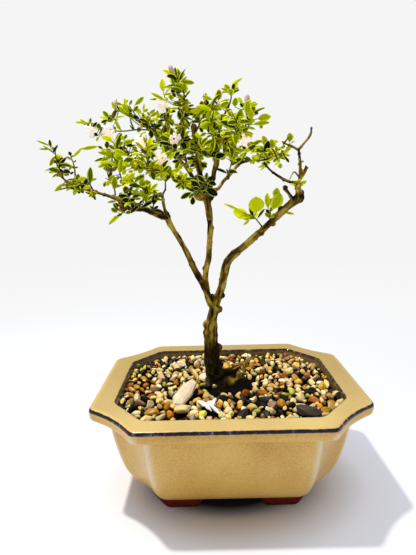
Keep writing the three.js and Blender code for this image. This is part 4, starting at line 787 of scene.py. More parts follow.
def bark():
    """Old serissa bark: olive brown and finely split, straw-coloured on its ridges, near black in its
    furrows, partly as painted shade, and on its scars, and darker towards the trunk's foot."""
    made = finish("fissured serissa bark")
    place = own_place(made)
    along_grain = add(made, "ShaderNodeAttribute", attribute_name="grain").outputs["Vector"]
    fibre = clouds(made, along_grain, 1.1, 8.0, 0.72)
    tone = maths(made, "MULTIPLY", maths(made, "ADD", fibre, carried(made, "relief")), 0.5)
    colour = shades(made, tone, (0.3, 0x0A0602), (0.42, 0x3C2A0A), (0.54, 0x82661A), (0.7, 0xBAA43C))
    blotch = clouds(made, place, 9, 3.0, 0.6)
    patched = blend(made, ranged(made, blotch, 0.52, 0.66, 0.0, 0.72), colour, 0x2A1B08)
    darkened = blend(made, carried(made, "damp"), patched, 0x080502)
    bump = relief_of(made, fibre, 0.6, 0.3)
    return closed(made, darkened, 0.8, 1.45, Specular_IOR_Level=0.12, Normal=bump)


def variegated_leaf():
    """Waxy leaf blades: green in the middle, cream to lime at the margin, lit through by the light behind
    them. Leaves run from near black green to lime all over, partly with age and partly as painted shade and
    painted sunlight."""
    made = finish("variegated serissa leaf")
    chart = add(made, "ShaderNodeUVMap", uv_map="blade").outputs["UV"]
    place = own_place(made)
    tone = carried(made, "tone")
    across = add(made, "ShaderNodeSeparateXYZ", {"Vector": chart}).outputs["X"]
    side = maths(made, "ABSOLUTE", maths(made, "SUBTRACT", across, 0.5))
    wander = maths(made, "MULTIPLY_ADD", clouds(made, place, 1.8, 2.0), 0.2, side)
    # the pale margin is thin on a dark leaf and broad on a lime one
    margin = ranged(made, maths(made, "MULTIPLY_ADD", tone, 0.12, wander), 0.45, 0.51, 0.0, 1.0)
    centre = shades(
        made, tone, (0.0, 0x061003), (0.22, 0x1A3203), (0.45, 0x507602), (0.7, 0xB4CC02), (1.0, 0xE6EE04)
    )
    edge = shades(made, tone, (0.0, 0xCCD254), (0.3, 0xF0F040), (0.6, 0xF8F61E), (1.0, 0xF4F60E))
    blade = blend(made, margin, centre, edge)
    veined = blend(made, ranged(made, side, 0.015, 0.045, 0.14, 0.0), blade, edge)
    return closed(made, veined, 0.5, 1.45, through=0.36, Specular_IOR_Level=0.06)


def green_stem():
    """A season's growth: thin bark, brown where it leaves the wood and lime green at the tip."""
    made = finish("young serissa stem")
    age = carried(made, "tone")
    mixed = maths(made, "MULTIPLY_ADD", clouds(made, own_place(made), 0.8, 2.0), 0.35, age)
    colour = shades(made, mixed, (0.15, 0x33240F), (0.5, 0x5C4A1C), (0.9, 0x76801E), (1.0, 0x98A824))
    return closed(made, colour, 0.6, 1.45, Specular_IOR_Level=0.25)


def petal():
    """Thin white petals with a satin face, cream in the throat, that pass much of the light and glow a
    little as painted light.
    """
    made = finish("white serissa petal")
    reach = carried(made, "tone")
    mixed = maths(made, "MULTIPLY_ADD", clouds(made, own_place(made), 0.9, 2.0), 0.2, reach)
    colour = shades(made, mixed, (0.1, 0xFAEFD8), (0.35, 0xFCF4EA), (0.6, 0xFCF6F4), (1.0, 0xFCF6F5))
    # the petals' glow is painted light, for the light that passes through them
    return closed(
        made, colour, 0.55, 1.4, through=0.4,
        Specular_IOR_Level=0.2, Emission_Color=srgb(0xFFF0EC), Emission_Strength=0.3,
    )


def closed_petal():
    """A furled bud: the petals' backs, rose at the tip and greenish at the base."""
    made = finish("rose serissa bud")
    colour = shades(
        made, carried(made, "tone"), (0.0, 0xC9C58A), (0.25, 0xEBDCD6), (0.7, 0xE6C6C4), (1.0, 0xD9A9AE)
    )
    return closed(made, colour, 0.6, 1.4, through=0.25)


def stone_finish(name, low, high, roughness):
    """Washed gravel: each stone has its own shade, mottled by its mineral grain, and painted shade on its
    lower half, where it is bedded."""
    made = finish(name)
    place = own_place(made)
    shade = carried(made, "tone")
    grain = clouds(made, place, 1.6, 4.0, 0.7)
    tone = maths(made, "SUBTRACT", maths(made, "MULTIPLY_ADD", grain, 0.9, shade), 0.45)
    colour = shades(made, tone, (0.0, low), (1.0, high))
    height = add(made, "ShaderNodeSeparateXYZ", {"Vector": place}).outputs["Z"]
    # Painted shade: towards its lower part, where it is bedded, the stone darkens to near black.
    sunk = ranged(made, height, STONE_PAINTED_SHADE["full"] * MM, STONE_PAINTED_SHADE["none"] * MM, 0.96, 0.0)
    shade_paint = blend(made, sunk, colour, 0x0E0905)
    bump = relief_of(made, grain, 0.5, 0.3)
    return closed(made, shade_paint, roughness, 1.54, Specular_IOR_Level=0.3, Normal=bump)


def potting_soil():
    """Wet peat and grit: near black crumbs with a few paler grains."""
    made = finish("dark potting soil")
    crumb = clouds(made, own_place(made), 1.5, 5.0, 0.75)
    colour = shades(made, crumb, (0.35, 0x040302), (0.6, 0x140D08), (0.75, 0x3A2A1A))
    bump = relief_of(made, crumb, 0.8, 0.6)
    return closed(made, colour, 0.95, 1.4, Specular_IOR_Level=0.05, Normal=bump)


def screen_mesh():
    """Moulded polyethylene mesh: black, waxy and slightly scuffed."""
    made = finish("black polyethylene mesh")
    scuff = clouds(made, own_place(made), 2, 3.0)
    colour = shades(made, scuff, (0.4, 0x202020), (0.75, 0x3A3936))
    return closed(made, colour, ranged(made, scuff, 0.3, 0.7, 0.45, 0.65), 1.5)


# ---------------------------------------------------------------- shaping
def scatter(n):
    """An irregular but repeatable number from 0 to 1."""
    wave = math.sin(n * 12.9898 + 4.1414) * 43758.5453
    return wave - math.floor(wave)


def mix(a, b, share):
    return a + (b - a) * share


def along(points, place):
    """A point of the smooth route through points: place runs from 0 to the last point's index."""
    last = len(points) - 1
    i = min(int(place), last - 1)
    p = [Vector(points[k]) for k in (max(i - 1, 0), i, i + 1, min(i + 2, last))]
    if i == 0:
        p[0] = 2 * p[1] - p[2]
    if i == last - 1:
        p[3] = 2 * p[2] - p[1]
    knots = [0.0]
    for a, b in zip(p, p[1:]):
        knots.append(knots[-1] + (b - a).length ** 0.5)
    t = mix(knots[1], knots[2], place - i)
    first = [p[k].lerp(p[k + 1], (t - knots[k]) / (knots[k + 1] - knots[k])) for k in range(3)]
    second = [first[k].lerp(first[k + 1], (t - knots[k]) / (knots[k + 2] - knots[k])) for k in range(2)]
    return second[0].lerp(second[1], (t - knots[1]) / (knots[2] - knots[1]))


def even_places(points, step):
    """Places at even steps along the route, each with its point."""
    fine = 24
    row = [(k / fine, along(points, k / fine)) for k in range(fine * (len(points) - 1) + 1)]
    run = [0.0]
    for (_, a), (_, b) in zip(row, row[1:]):
        run.append(run[-1] + (b - a).length)
    count = max(2, round(run[-1] / step))
    places, k = [], 0
    for i in range(count + 1):
        goal = run[-1] * i / count
        while k < len(run) - 2 and run[k + 1] < goal:
            k += 1
        share = (goal - run[k]) / (run[k + 1] - run[k])
        place = mix(row[k][0], row[k + 1][0], min(share, 1.0))
        places.append((place, along(points, place)))
    return places


def frames_along(places):
    """The direction at each place, with two crosswise directions that don't twist between places."""
    centres = [centre for _, centre in places]
    last = len(centres) - 1
    heads = [(centres[min(i + 1, last)] - centres[max(i - 1, 0)]).normalized() for i in range(last + 1)]
    side = heads[0].orthogonal().normalized()
    frames = []
    for head in heads:
        side = (side - side.dot(head) * head).normalized()
        frames.append((head, side, head.cross(side)))
    return frames


def next_ring(bm, ring):
    """Extrudes a closed loop of vertices, and returns the new loop in the same order."""
    edges = [bm.edges.get(pair) for pair in zip(ring, ring[1:] + ring[:1])]
    grown = bmesh.ops.extrude_edge_only(bm, edges=edges)["geom"]
    fresh = {v for v in grown if isinstance(v, bmesh.types.BMVert)}
    return [next(e.other_vert(v) for e in v.link_edges if e.other_vert(v) in fresh) for v in ring]


def skin(bm, rings, capped=True):
    """One skin over a row of rings: the first ring of points, extruded through all the others."""
    loop = bmesh.ops.create_circle(bm, segments=len(rings[0]), radius=1)["verts"]
    loops = [loop]
    for _ in rings[1:]:
        loops.append(next_ring(bm, loops[-1]))
    for verts, points in zip(loops, rings):
        for vert, point in zip(verts, points):
            vert.co = point
    if capped:
        for loop in (loops[0], loops[-1]):
            bmesh.ops.contextual_create(bm, geom=loop)
    bmesh.ops.recalc_face_normals(bm, faces=list({f for loop in loops for v in loop for f in v.link_faces}))
    return loops


def limb(bm, route, radii, sides, step):
    """A round limb along a smooth route, thick as its radii say at each of the route's points."""
    places = even_places(route, step)
    rings = []
    for (place, centre), (_, side, cross) in zip(places, frames_along(places)):
        i = min(int(place), len(radii) - 2)
        radius = mix(radii[i], radii[i + 1], place - i)
        turn = [2 * math.pi * k / sides for k in range(sides)]
        rings.append([centre + radius * (math.cos(a) * side + math.sin(a) * cross) for a in turn])
    return skin(bm, rings)


def placed(name, bm, finishes, nodes, smooth=True):
    """Turns a bmesh in millimetres round the pot's centre into a finished piece of the part."""
    bmesh.ops.scale(bm, vec=(MM, MM, MM), verts=bm.verts)
    bmesh.ops.translate(bm, vec=POT_CENTRE, verts=bm.verts)
    mesh = bpy.data.meshes.new(name)
    bm.to_mesh(mesh)
    bm.free()
    for each in finishes:
        mesh.materials.append(each)
    if smooth:
        mesh.shade_smooth()
    made = bpy.data.objects.new(name, mesh)
    bpy.context.scene.collection.objects.link(made)
    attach(made, "root")
    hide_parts(*nodes)
    return made


def settled(made):
    """Applies a piece's modifiers to its mesh."""
    bpy.context.view_layer.update()
    whole = bpy.data.meshes.new_from_object(made.evaluated_get(bpy.context.evaluated_depsgraph_get()))
    old = made.data
    made.modifiers.clear()
    made.data = whole
    bpy.data.meshes.remove(old)
    return made


# ---------------------------------------------------------------- pot
def outline(level):
    """One turn of the pot's outline at a level, counter-clockwise, with rounded corners."""
    x, y, front, side, bow = (level[key] for key in ("x", "y", "front", "side", "bow"))
    notch_steps, corner_steps, panel_steps = 8, 4, (12, 8)
    width = math.hypot(x - front, y - side)

    def notch(s):
        dip = bow * math.sqrt(0.5) * 4 * s * (1 - s)
        return Vector((front + (x - front) * s - dip, -y + (y - side) * s + dip, level["z"]))

    def corner(start, middle, end):
        turns = [k / corner_steps for k in range(corner_steps + 1)]
        return [start.lerp(middle, s).lerp(middle.lerp(end, s), s) for s in turns]

    cut = CORNER_RADIUS / width
    quarter = corner(notch(0) - Vector((CORNER_RADIUS, 0, 0)), notch(0), notch(cut))
    quarter += [notch(mix(cut, 1 - cut, k / notch_steps)) for k in range(1, notch_steps)]
    quarter += corner(notch(1 - cut), notch(1), notch(1) + Vector((0, CORNER_RADIUS, 0)))
    back = [Vector((p.x, -p.y, p.z)) for p in reversed(quarter)]
    turn = []
    for i, points in enumerate((quarter, back, quarter, back)):
        flip = 1 if i < 2 else -1
        points = [Vector((p.x * flip, p.y * flip, p.z)) for p in points]
        if i:
            steps = panel_steps[i % 2]
            turn += [turn[-1].lerp(points[0], k / steps) for k in range(1, steps)]
        turn += points
    steps = panel_steps[0]
    turn += [turn[-1].lerp(turn[0], k / steps) for k in range(1, steps)]
    return turn


def bracket_foot(bm, sign_x, sign_y):
    """One foot, lofted from its sole up to where it meets the body, rounded at the sole's edge."""
    middle = Vector((sum(x for x, _ in FOOT_SOLE), sum(y for _, y in FOOT_SOLE), 0)) / len(FOOT_SOLE)
    steps = 4  # on each side of the plan

    def turn(plan, z, share=1.0):
        corners = [middle + (Vector((x, y, 0)) - middle) * share for x, y in plan]
        if sign_x * sign_y < 0:
            corners.reverse()
        ring = []
        for a, b in zip(corners, corners[1:] + corners[:1]):
            ring += [a.lerp(b, k / steps) for k in range(steps)]
        return [Vector((p.x * sign_x, p.y * sign_y, z)) for p in ring]

    skin(bm, [
        turn(FOOT_SOLE, 0, 0.9), turn(FOOT_SOLE, 0.12, 0.96), turn(FOOT_SOLE, FOOT_BEVEL),
        turn(FOOT_SOLE, 2), turn(FOOT_TOP, FOOT_HEIGHT), turn(FOOT_TOP, FOOT_HEIGHT + 1),
    ])


def facing_front(y):
    """1 on the pot's front, falling to 0 at its back."""
    return min(max((12 - y) / 45, 0.0), 1.0)


def pot(glaze, clay):
    bm = bmesh.new()
    edge, pale, stain = (bm.verts.layers.float.new(name) for name in ("edge", "pale", "stain"))
    edge, pale, stain = (bm.verts.layers.float[name] for name in ("edge", "pale", "stain"))
    levels = OUTSIDE + INSIDE
    loops = skin(bm, [outline(level) for level in levels])
    rim = len(OUTSIDE)
    cobalt = {
        rim - 5: 0.1, rim - 4: 0.9, rim - 3: 1.0, rim - 2: 0.4, rim - 1: 0.1,
        rim + 3: 0.6, rim + 4: 0.5,
    }
    for i, (level, loop) in enumerate(zip(levels, loops)):
        z = level["z"]
        for v in loop:
            x, y = abs(v.co.x), abs(v.co.y)
            front = facing_front(v.co.y)
            v[edge] = cobalt.get(i, 0.0) * (mix(0.62, 1.0, front) if i < rim else 1.0)
            corner = min(
                math.hypot(x - level["front"], y - level["y"]), math.hypot(x - level["x"], y - level["side"])
            )
            # painted highlights down the notches' corners
            if 16 < z < 61:
                v[pale] = 0.75 * max(0.0, 1 - corner / 3.4) * min((z - 16) / 14, 1)
            # a faint painted highlight on the rim's top, strongest at the front
            if rim - 1 <= i <= rim + 2:
                v[pale] = 0.1 * front
            # painted shade on the inside wall, below the inner lip
            if i > rim + 3:
                v[stain] = 1.0
            elif i >= rim:
                # the back of the rim's top and its two sides are darkened too
                side = min(max((x - 48) / 18, 0.0), 1.0)
                v[stain] = 0.3 * (1 - front) + (0.2 if v.co.x < 0 else 0.13) * side * front
            # painted shade in the groove under the lip
            elif z in (55.3, 56.2):
                v[stain] = 0.5
    glazed = set(bm.faces)
    for sx in (1, -1):
        for sy in (1, -1):
            bracket_foot(bm, sx, sy)
    for face in bm.faces:
        unglazed = face.calc_center_median().z < FOOT_HEIGHT + 0.45
        face.material_index = 1 if face not in glazed or unglazed else 0
    made = placed("glazed_pot", bm, [glaze, clay], ["pot"])
    cutter_bm = bmesh.new()
    hole = DRAIN["radius"] * MM
    for side in (-1, 1):
        centre = POT_CENTRE + Vector((side * DRAIN["x"] * MM, 0, FLOOR_TOP * MM / 2))
        bmesh.ops.create_cone(
            cutter_bm, cap_ends=True, segments=40, radius1=hole, radius2=hole, depth=3 * FLOOR_TOP * MM,
            matrix=Matrix.Translation(centre),
        )
    cutter_mesh = bpy.data.meshes.new("drain_cutter")
    cutter_bm.to_mesh(cutter_mesh)
    cutter_bm.free()
    cutter = bpy.data.objects.new("drain_cutter", cutter_mesh)
    bpy.context.scene.collection.objects.link(cutter)
    rounded = made.modifiers.new("rounded", "SUBSURF")
    rounded.levels = rounded.render_levels = 1
    drilled = made.modifiers.new("drilled", "BOOLEAN")
    drilled.object = cutter
    drilled.solver = "EXACT"
    settled(made)
    bpy.data.objects.remove(cutter)
    made.data.shade_smooth()
    return made


# ---------------------------------------------------------------- wood
def course(route, step=0.5):
    """Points at even steps along a route."""
    return [point for _, point in even_places(route, step)]


WOOD_COURSE = [point for route, _ in LIMBS.values() for point in course(route)] + [
    point for route, _ in ROOTS[:3] for point in course(route)
]


def beside(points, u, v, depth):
    """Where the line of sight of a pixel passes closest to one of the points, with that point. Of
    two that are as close, the one nearer the depth counts."""
    ray = ray_through(u, v).normalized()

    def miss(point):
        off = point - CAMERA["at"]
        return (off - ray * off.dot(ray)).length + 0.12 * abs(point.y - depth)

    best = min(points, key=miss)
    return CAMERA["at"] + ray * (best - CAMERA["at"]).dot(ray), best


WOOD = {
    "voxel": 0.42,  # of the mesh that fuses the limbs into one skin
    "knot_gap": 7,  # from one pair of leaf scars to the next
    "knots_above": 100,  # the trunk below is smooth of them
    "furrowed": 4.5,  # radius from which bark splits to its full depth
    "widest_scar": 3.3,  # radius over which a swelling has healed and isn't dark
    "dark_top": 91,  # height to which the trunk's foot is darkened
}


def wood(finish_of_bark):
    """Trunk, branches and roots, grown into one skin, with split bark, knots and cut ends."""
    rng = random.Random(11)
    bm = bmesh.new()
    spine = []  # (centre, run along the limb, radius, head, side, cross)
    for name, (route, radii) in list(LIMBS.items()) + [("root", root) for root in ROOTS]:
        piece = bmesh.new()
        limb(piece, route, radii, 12, 1.6)
        places = even_places(route, 1.0)
        for k, ((place, centre), (head, side, cross)) in enumerate(zip(places, frames_along(places))):
            i = min(int(place), len(radii) - 2)
            spine.append((centre, float(k), mix(radii[i], radii[i + 1], place - i), head, side, cross))
            pair, rest = divmod(k, WOOD["knot_gap"])
            if rest == 3 and name != "root" and centre.z > WOOD["knots_above"]:  # a leaf pair once grew here
                radius = spine[-1][2]
                for turn in (0, math.pi):
                    angle = turn + pair * math.pi / 2 + rng.uniform(-0.5, 0.5)
                    out = math.cos(angle) * side + math.sin(angle) * cross
                    bmesh.ops.create_icosphere(
                        piece, subdivisions=1, radius=rng.uniform(0.35, 0.6) + 0.18 * radius,
                        matrix=Matrix.Translation(centre + out * radius * 0.85),
                    )
        mesh = bpy.data.meshes.new("limb")
        piece.to_mesh(mesh)
        piece.free()
        bm.from_mesh(mesh)
        bpy.data.meshes.remove(mesh)
    scars = []
    for u, v, depth, radius in KNOBS.values():
        at, core = beside(WOOD_COURSE, u, v, depth)
        seed = Vector((u, v, depth))
        for vert in bmesh.ops.create_icosphere(
            bm, subdivisions=3, radius=radius, matrix=Matrix.Translation(core.lerp(at, 0.6))
        )["verts"]:
            vert.co += (vert.co - at) * 0.3 * noise.noise(vert.co * (0.9 / radius) + seed)
        if radius < WOOD["widest_scar"]:
            scars.append((at, radius))
    made = placed("trunk_and_crown_wood", bm, [finish_of_bark], ["trunk_and_branches"])
    fused = made.modifiers.new("fused", "REMESH")
    fused.mode = "VOXEL"
    fused.voxel_size = WOOD["voxel"] * MM
    fused.use_smooth_shade = True
    settled(made)
    tree = KDTree(len(spine))
    for k, (centre, *_) in enumerate(spine):
        tree.insert(centre, k)
    tree.balance()
    mesh = made.data
    for name, kind in (("grain", "FLOAT_VECTOR"), ("relief", "FLOAT"), ("damp", "FLOAT")):
        mesh.attributes.new(name, kind, "POINT")
    grain, relief, damp = (mesh.attributes[name] for name in ("grain", "relief", "damp"))
    normals = [v.normal.copy() for v in mesh.vertices]
    for v, normal in zip(mesh.vertices, normals):
        point = (v.co - POT_CENTRE) / MM
        _, k, _ = tree.find(point)
        centre, run, radius, head, side, cross = spine[k]
        off = point - centre
        run += off.dot(head)
        around = Vector((off.dot(side), off.dot(cross), 0)).normalized() * radius
        fibre = Vector((around.x, around.y, run * 0.2 + k // 90 * 5.0))
        ridge = noise.fractal(fibre * 0.5, 0.9, 2.1, 3)
        mottle = noise.fractal(point * 0.13, 0.8, 2.2, 2)
        lump = noise.noise(point * 0.16 + Vector((3, 7, 1)))
        old = min(radius / WOOD["furrowed"], 1.0)  # only the trunk has deep furrows
        v.co += normal * MM * (old * (0.75 * ridge + 0.9 * lump) + (1 - old) * 0.12 * ridge)
        grain.data[v.index].vector = fibre * MM
        # low relief turns the bark dark: partly its own colour in the furrows, partly painted shade
        relief.data[v.index].value = min(max(0.55 + 0.55 * ridge + 0.4 * mottle, 0.0), 1.0)
        # darker towards the trunk's foot, and dark round the healed scars
        darkened = min(max((WOOD["dark_top"] - point.z) / 15, 0.0), 1.0)
        darkened *= min(max((14 - abs(point.x + 9)) / 6, 0.0), 1.0)
        scarred = max((1 - (point - at).length / (size * 1.25) for at, size in scars), default=0)
        damp.data[v.index].value = min(max(0.92 * darkened, 1.1 * scarred, 0.0), 1.0)
    mesh.update()
    return made


# ---------------------------------------------------------------- gravel and stones
PEBBLES = {
    # kind: (share of the gravel, dark shade, light shade, roughness)
    "cream_quartz": (0.44, 0xD8B256, 0xFAE6A6, 0.4),
    "white_quartz": (0.1, 0xDCCC9C, 0xF6EED4, 0.36),
    "honey_chert": (0.19, 0xA8720C, 0xF6C452, 0.42),
    "amber_chert": (0.08, 0x864406, 0xE8941C, 0.4),
    "rose_granite": (0.03, 0x8A6048, 0xE4BC98, 0.5),
    "grey_slate": (0.01, 0x4C463E, 0x98907E, 0.55),
    "black_basalt": (0.13, 0x050303, 0x20140C, 0.6),
    "lime_chert": (0.04, 0x8A961C, 0xDEDE5C, 0.42),
}
# Stones that catch the eye: pixel, radius and kind.
CHOSEN_PEBBLES = {
    "marbled": (193, 417, 2.6, "grey_slate"), "black_front": (243, 412.5, 3.2, "black_basalt"),
    "black_left": (222, 397, 2.8, "black_basalt"), "black_shard": (207, 385, 2.6, "black_basalt"),
    "black_far": (339, 396, 2.6, "black_basalt"), "amber_shard": (200, 392, 2.3, "amber_chert"),
    "lime_corner": (137, 365, 1.8, "lime_chert"), "lime_corner_right": (145, 367, 1.8, "lime_chert"),
    "lime_left": (164, 383, 1.6, "lime_chert"), "lime_splinter": (203, 413, 2.2, "lime_chert"),
    "gold_front": (153, 411, 3.6, "honey_chert"), "gold_shard": (174, 406, 2.2, "honey_chert"),
    "amber_root": (246, 392, 2.4, "amber_chert"), "amber_right": (263, 371, 2.6, "amber_chert"),
    "cream_right": (300, 396, 3.0, "cream_quartz"), "cream_far": (326, 382, 2.7, "cream_quartz"),
    "white_left": (137, 396, 2.4, "white_quartz"), "white_back": (203, 376, 2.6, "white_quartz"),
    "cream_back": (194, 372, 3.0, "cream_quartz"), "rose_right": (273, 404, 2.6, "rose_granite"),
}
TURQUOISE_CHIP = (173, 393.5, 1.2)
# Sizes of pebble, the largest first: radius, and how many are tried.
GRADES = ((2.9, 110), (2.4, 450), (2.0, 1300), (1.6, 3000), (1.25, 4200))


def on_gravel(x, y, margin):
    """True inside the pot's inner wall, at least a margin away from it."""
    wall = {"x": 63.1, "y": 48.2, "front": 44.6, "side": 27.2}
    slant = Vector((wall["y"] - wall["side"], wall["x"] - wall["front"])).normalized()
    reach = slant.dot(Vector((wall["front"], wall["y"])))
    x, y = abs(x), abs(y)
    return x < wall["x"] - margin and y < wall["y"] - margin and slant.dot(Vector((x, y))) < reach - margin


def pebble(bm, layer, at, radius, rng):
    """One broken and washed stone: a ball pressed flat on several sides and laid down at any turn."""
    verts = bmesh.ops.create_icosphere(bm, subdivisions=2, radius=1)["verts"]
    seed = Vector((rng.random(), rng.random(), rng.random())) * 50
    shade = rng.random()
    cuts = []
    for _ in range(rng.randint(6, 10)):
        away = Vector((rng.gauss(0, 1), rng.gauss(0, 1), rng.gauss(0, 1))).normalized()
        cuts.append((away, rng.uniform(0.5, 0.82)))
    for v in verts:
        v.co *= 1.14 + 0.3 * noise.noise(v.co * 1.5 + seed)
        for away, reach in cuts:
            over = v.co.dot(away) - reach
            if over > 0:
                v.co -= away * over * 0.97
        v[layer] = shade
    turn = Quaternion((rng.gauss(0, 1), rng.gauss(0, 1), rng.gauss(0, 1), rng.gauss(0, 1))).normalized()
    half = [radius * rng.uniform(*shares) for shares in ((1.05, 1.55), (0.85, 1.1), (0.6, 0.9))]
    place = Matrix.Translation(at) @ turn.to_matrix().to_4x4() @ Matrix.Diagonal((*half, 1))
    bmesh.ops.transform(bm, matrix=place, verts=verts)


def gravel():
    """Washed pea gravel, larger stones first, then small ones in the gaps, one piece for each kind."""
    rng = random.Random(5)
    beds, layers, finishes = {}, {}, {}
    kinds = list(PEBBLES)
    for kind in kinds:
        beds[kind] = bmesh.new()
        layers[kind] = beds[kind].verts.layers.float.new("tone")
        _, low, high, roughness = PEBBLES[kind]
        finishes[kind] = stone_finish(kind.replace("_", " ") + " pebble", low, high, roughness)
    taken = {}
    cell = 6.0

    def near(x, y, radius):
        for i in range(int((x - 7) // cell), int((x + 7) // cell) + 1):
            for j in range(int((y - 7) // cell), int((y + 7) // cell) + 1):
                for px, py, pr in taken.get((i, j), ()):
                    if math.hypot(px - x, py - y) < 0.9 * (pr + radius):
                        return True
        return False

    stones = [(Vector(at[:2]), half, math.radians(turn[2])) for at, half, turn in STONES.values()]
    for u, v, radius, kind in CHOSEN_PEBBLES.values():
        at = spot(u, v, GRAVEL_TOP + 0.2)
        taken.setdefault((int(at.x // cell), int(at.y // cell)), []).append((at.x, at.y, radius))
        pebble(beds[kind], layers[kind], at - Vector((0, 0, 0.35 * radius)), radius, rng)
    for radius, tries in GRADES:
        for _ in range(tries):
            x, y = rng.uniform(-63, 63), rng.uniform(-48, 48)
            r = radius * rng.uniform(0.9, 1.12)
            if not on_gravel(x, y, r * 0.75) or near(x, y, r):
                continue
            # bare soil round the trunk, whose dark patch also stands in as painted shadow of the trunk
            off = Vector((x - BARE_SOIL_AND_SHADOW["x"], y - BARE_SOIL_AND_SHADOW["y"]))
            bare = math.hypot(off.x / BARE_SOIL_AND_SHADOW["wide"], off.y / BARE_SOIL_AND_SHADOW["deep"])
            if bare < 1 + 0.8 * noise.noise(Vector((x, y, 4)) * 0.22):
                continue
            covered = False
            for at, half, turn in stones:
                off = Vector((x, y)) - at
                u = off.x * math.cos(turn) + off.y * math.sin(turn)
                w = -off.x * math.sin(turn) + off.y * math.cos(turn)
                covered |= math.hypot(u / (half[0] + r * 0.6), w / (half[1] + r * 0.6)) < 1
            if covered:
                continue
            taken.setdefault((int(x // cell), int(y // cell)), []).append((x, y, r))
            swell = 0.9 * noise.noise(Vector((x, y, 0)) * 0.06)
            z = GRAVEL_TOP - 0.4 + swell * 0.6 + rng.uniform(-0.4, 0.7) - 0.55 * r
            kind = rng.choices(kinds, [PEBBLES[k][0] for k in kinds])[0]
            pebble(beds[kind], layers[kind], Vector((x, y, z)), r, rng)
    chip_bm = bmesh.new()
    chip_layer = chip_bm.verts.layers.float.new("tone")
    u, v, radius = TURQUOISE_CHIP
    pebble(chip_bm, chip_layer, spot(u, v, GRAVEL_TOP + 0.6), radius, rng)
    turquoise = stone_finish("turquoise glass chip", 0x2E8F94, 0x8ED6D2, 0.25)
    placed("pebbles_turquoise_chip", chip_bm, [turquoise], ["gravel"])
    for kind in kinds:
        slot = "dark_stone" if "black" in kind or "slate" in kind else "gravel"
        placed("pebbles_" + kind, beds[kind], [finishes[kind]], ["gravel"], smooth=False)


BARE_SOIL_AND_SHADOW = {"x": 0, "y": 3, "wide": 17, "deep": 21}


def soil_bed(soil):
    """The crumbly top of the soil, between and under the stones."""
    bm = bmesh.new()
    bmesh.ops.create_grid(bm, x_segments=130, y_segments=100, size=1)
    for v in bm.verts:
        x, y = v.co.x * 66, v.co.y * 51
        crumb = noise.fractal(Vector((x, y, 0)) * 0.35, 0.8, 2.1, 3)
        heap = math.exp(-((x - BARE_SOIL_AND_SHADOW["x"]) ** 2 + (y - BARE_SOIL_AND_SHADOW["y"]) ** 2) / 150)
        v.co = Vector((x, y, BED_TOP + 0.9 * crumb + 2.0 * heap))
    # trimmed to the pot's wall
    wall = INSIDE[5]
    planes = []
    for sx in (1, -1):
        planes.append(((sx * wall["x"], 0, 0), (sx, 0, 0)))
        planes.append(((0, sx * wall["y"], 0), (0, sx, 0)))
        for sy in (1, -1):
            slant = Vector(((wall["y"] - wall["side"]) * sx, (wall["x"] - wall["front"]) * sy, 0))
            planes.append(((wall["front"] * sx, wall["y"] * sy, 0), slant.normalized()))
    for point, outward in planes:
        everything = bm.verts[:] + bm.edges[:] + bm.faces[:]
        bmesh.ops.bisect_plane(bm, geom=everything, plane_co=point, plane_no=outward, clear_outer=True)
    bmesh.ops.solidify(bm, geom=bm.faces[:], thickness=2.5)
    bmesh.ops.recalc_face_normals(bm, faces=bm.faces[:])
    return placed("crumbly_soil_top", bm, [soil], ["gravel"])


def feature_stone(name, look, facets):
    """A stone that stands out: hewn from a block by flat cuts, or worn round."""
    rng = random.Random(len(name))
    bm = bmesh.new()
    layer = bm.verts.layers.float.new("tone")
    bmesh.ops.create_icosphere(bm, subdivisions=3, radius=1)
    seed = Vector((rng.random(), rng.random(), rng.random())) * 40
    for _ in range(facets):
        away = Vector((rng.gauss(0, 1), rng.gauss(0, 1), rng.gauss(0, 1))).normalized()
        reach = rng.uniform(0.6, 0.85)
        for v in bm.verts:  # pressed flat beyond a plane
            over = v.co.dot(away) - reach
            if over > 0:
                v.co -= away * over * 0.92
    for v in bm.verts:
        v.co *= 1.12 + 0.16 * noise.noise(v.co * 1.5 + seed)
        v[layer] = 0.55
    laid(bm, name)
    return placed(name.replace("_stone", "_rock"), bm, [look], [name])


def laid(bm, name):
    """Turns a shape of half size 1 to a stone's own place, turn and size."""
    at, half, turn = STONES[name]
    rx, ry, rz = (math.radians(angle) for angle in turn)
    spin = Matrix.Rotation(rz, 4, "Z") @ Matrix.Rotation(ry, 4, "Y") @ Matrix.Rotation(rx, 4, "X")
    place = Matrix.Translation(at) @ spin @ Matrix.Diagonal((*half, 1))
    bmesh.ops.transform(bm, matrix=place, verts=bm.verts)


def shard(look):
    """A split flake: a slanting slab with sharp corners, thin along its upper edge."""
    plan = [(-1, -0.1), (-0.55, 0.75), (0.3, 1), (1, 0.75), (0.92, -0.1), (0.1, -0.85), (-0.75, -0.95)]
    levels = ((-1, 0.82), (-0.1, 1), (0.6, 0.86), (1, 0.45))
    bm = bmesh.new()
    layer = bm.verts.layers.float.new("tone")
    skin(bm, [[Vector((x * wide, y * wide, z)) for x, y in plan] for z, wide in levels])
    for v in bm.verts:
        v[layer] = 0.55
    laid(bm, "shard_stone")
    return placed("shard_flake", bm, [look], ["shard_stone"], smooth=False)


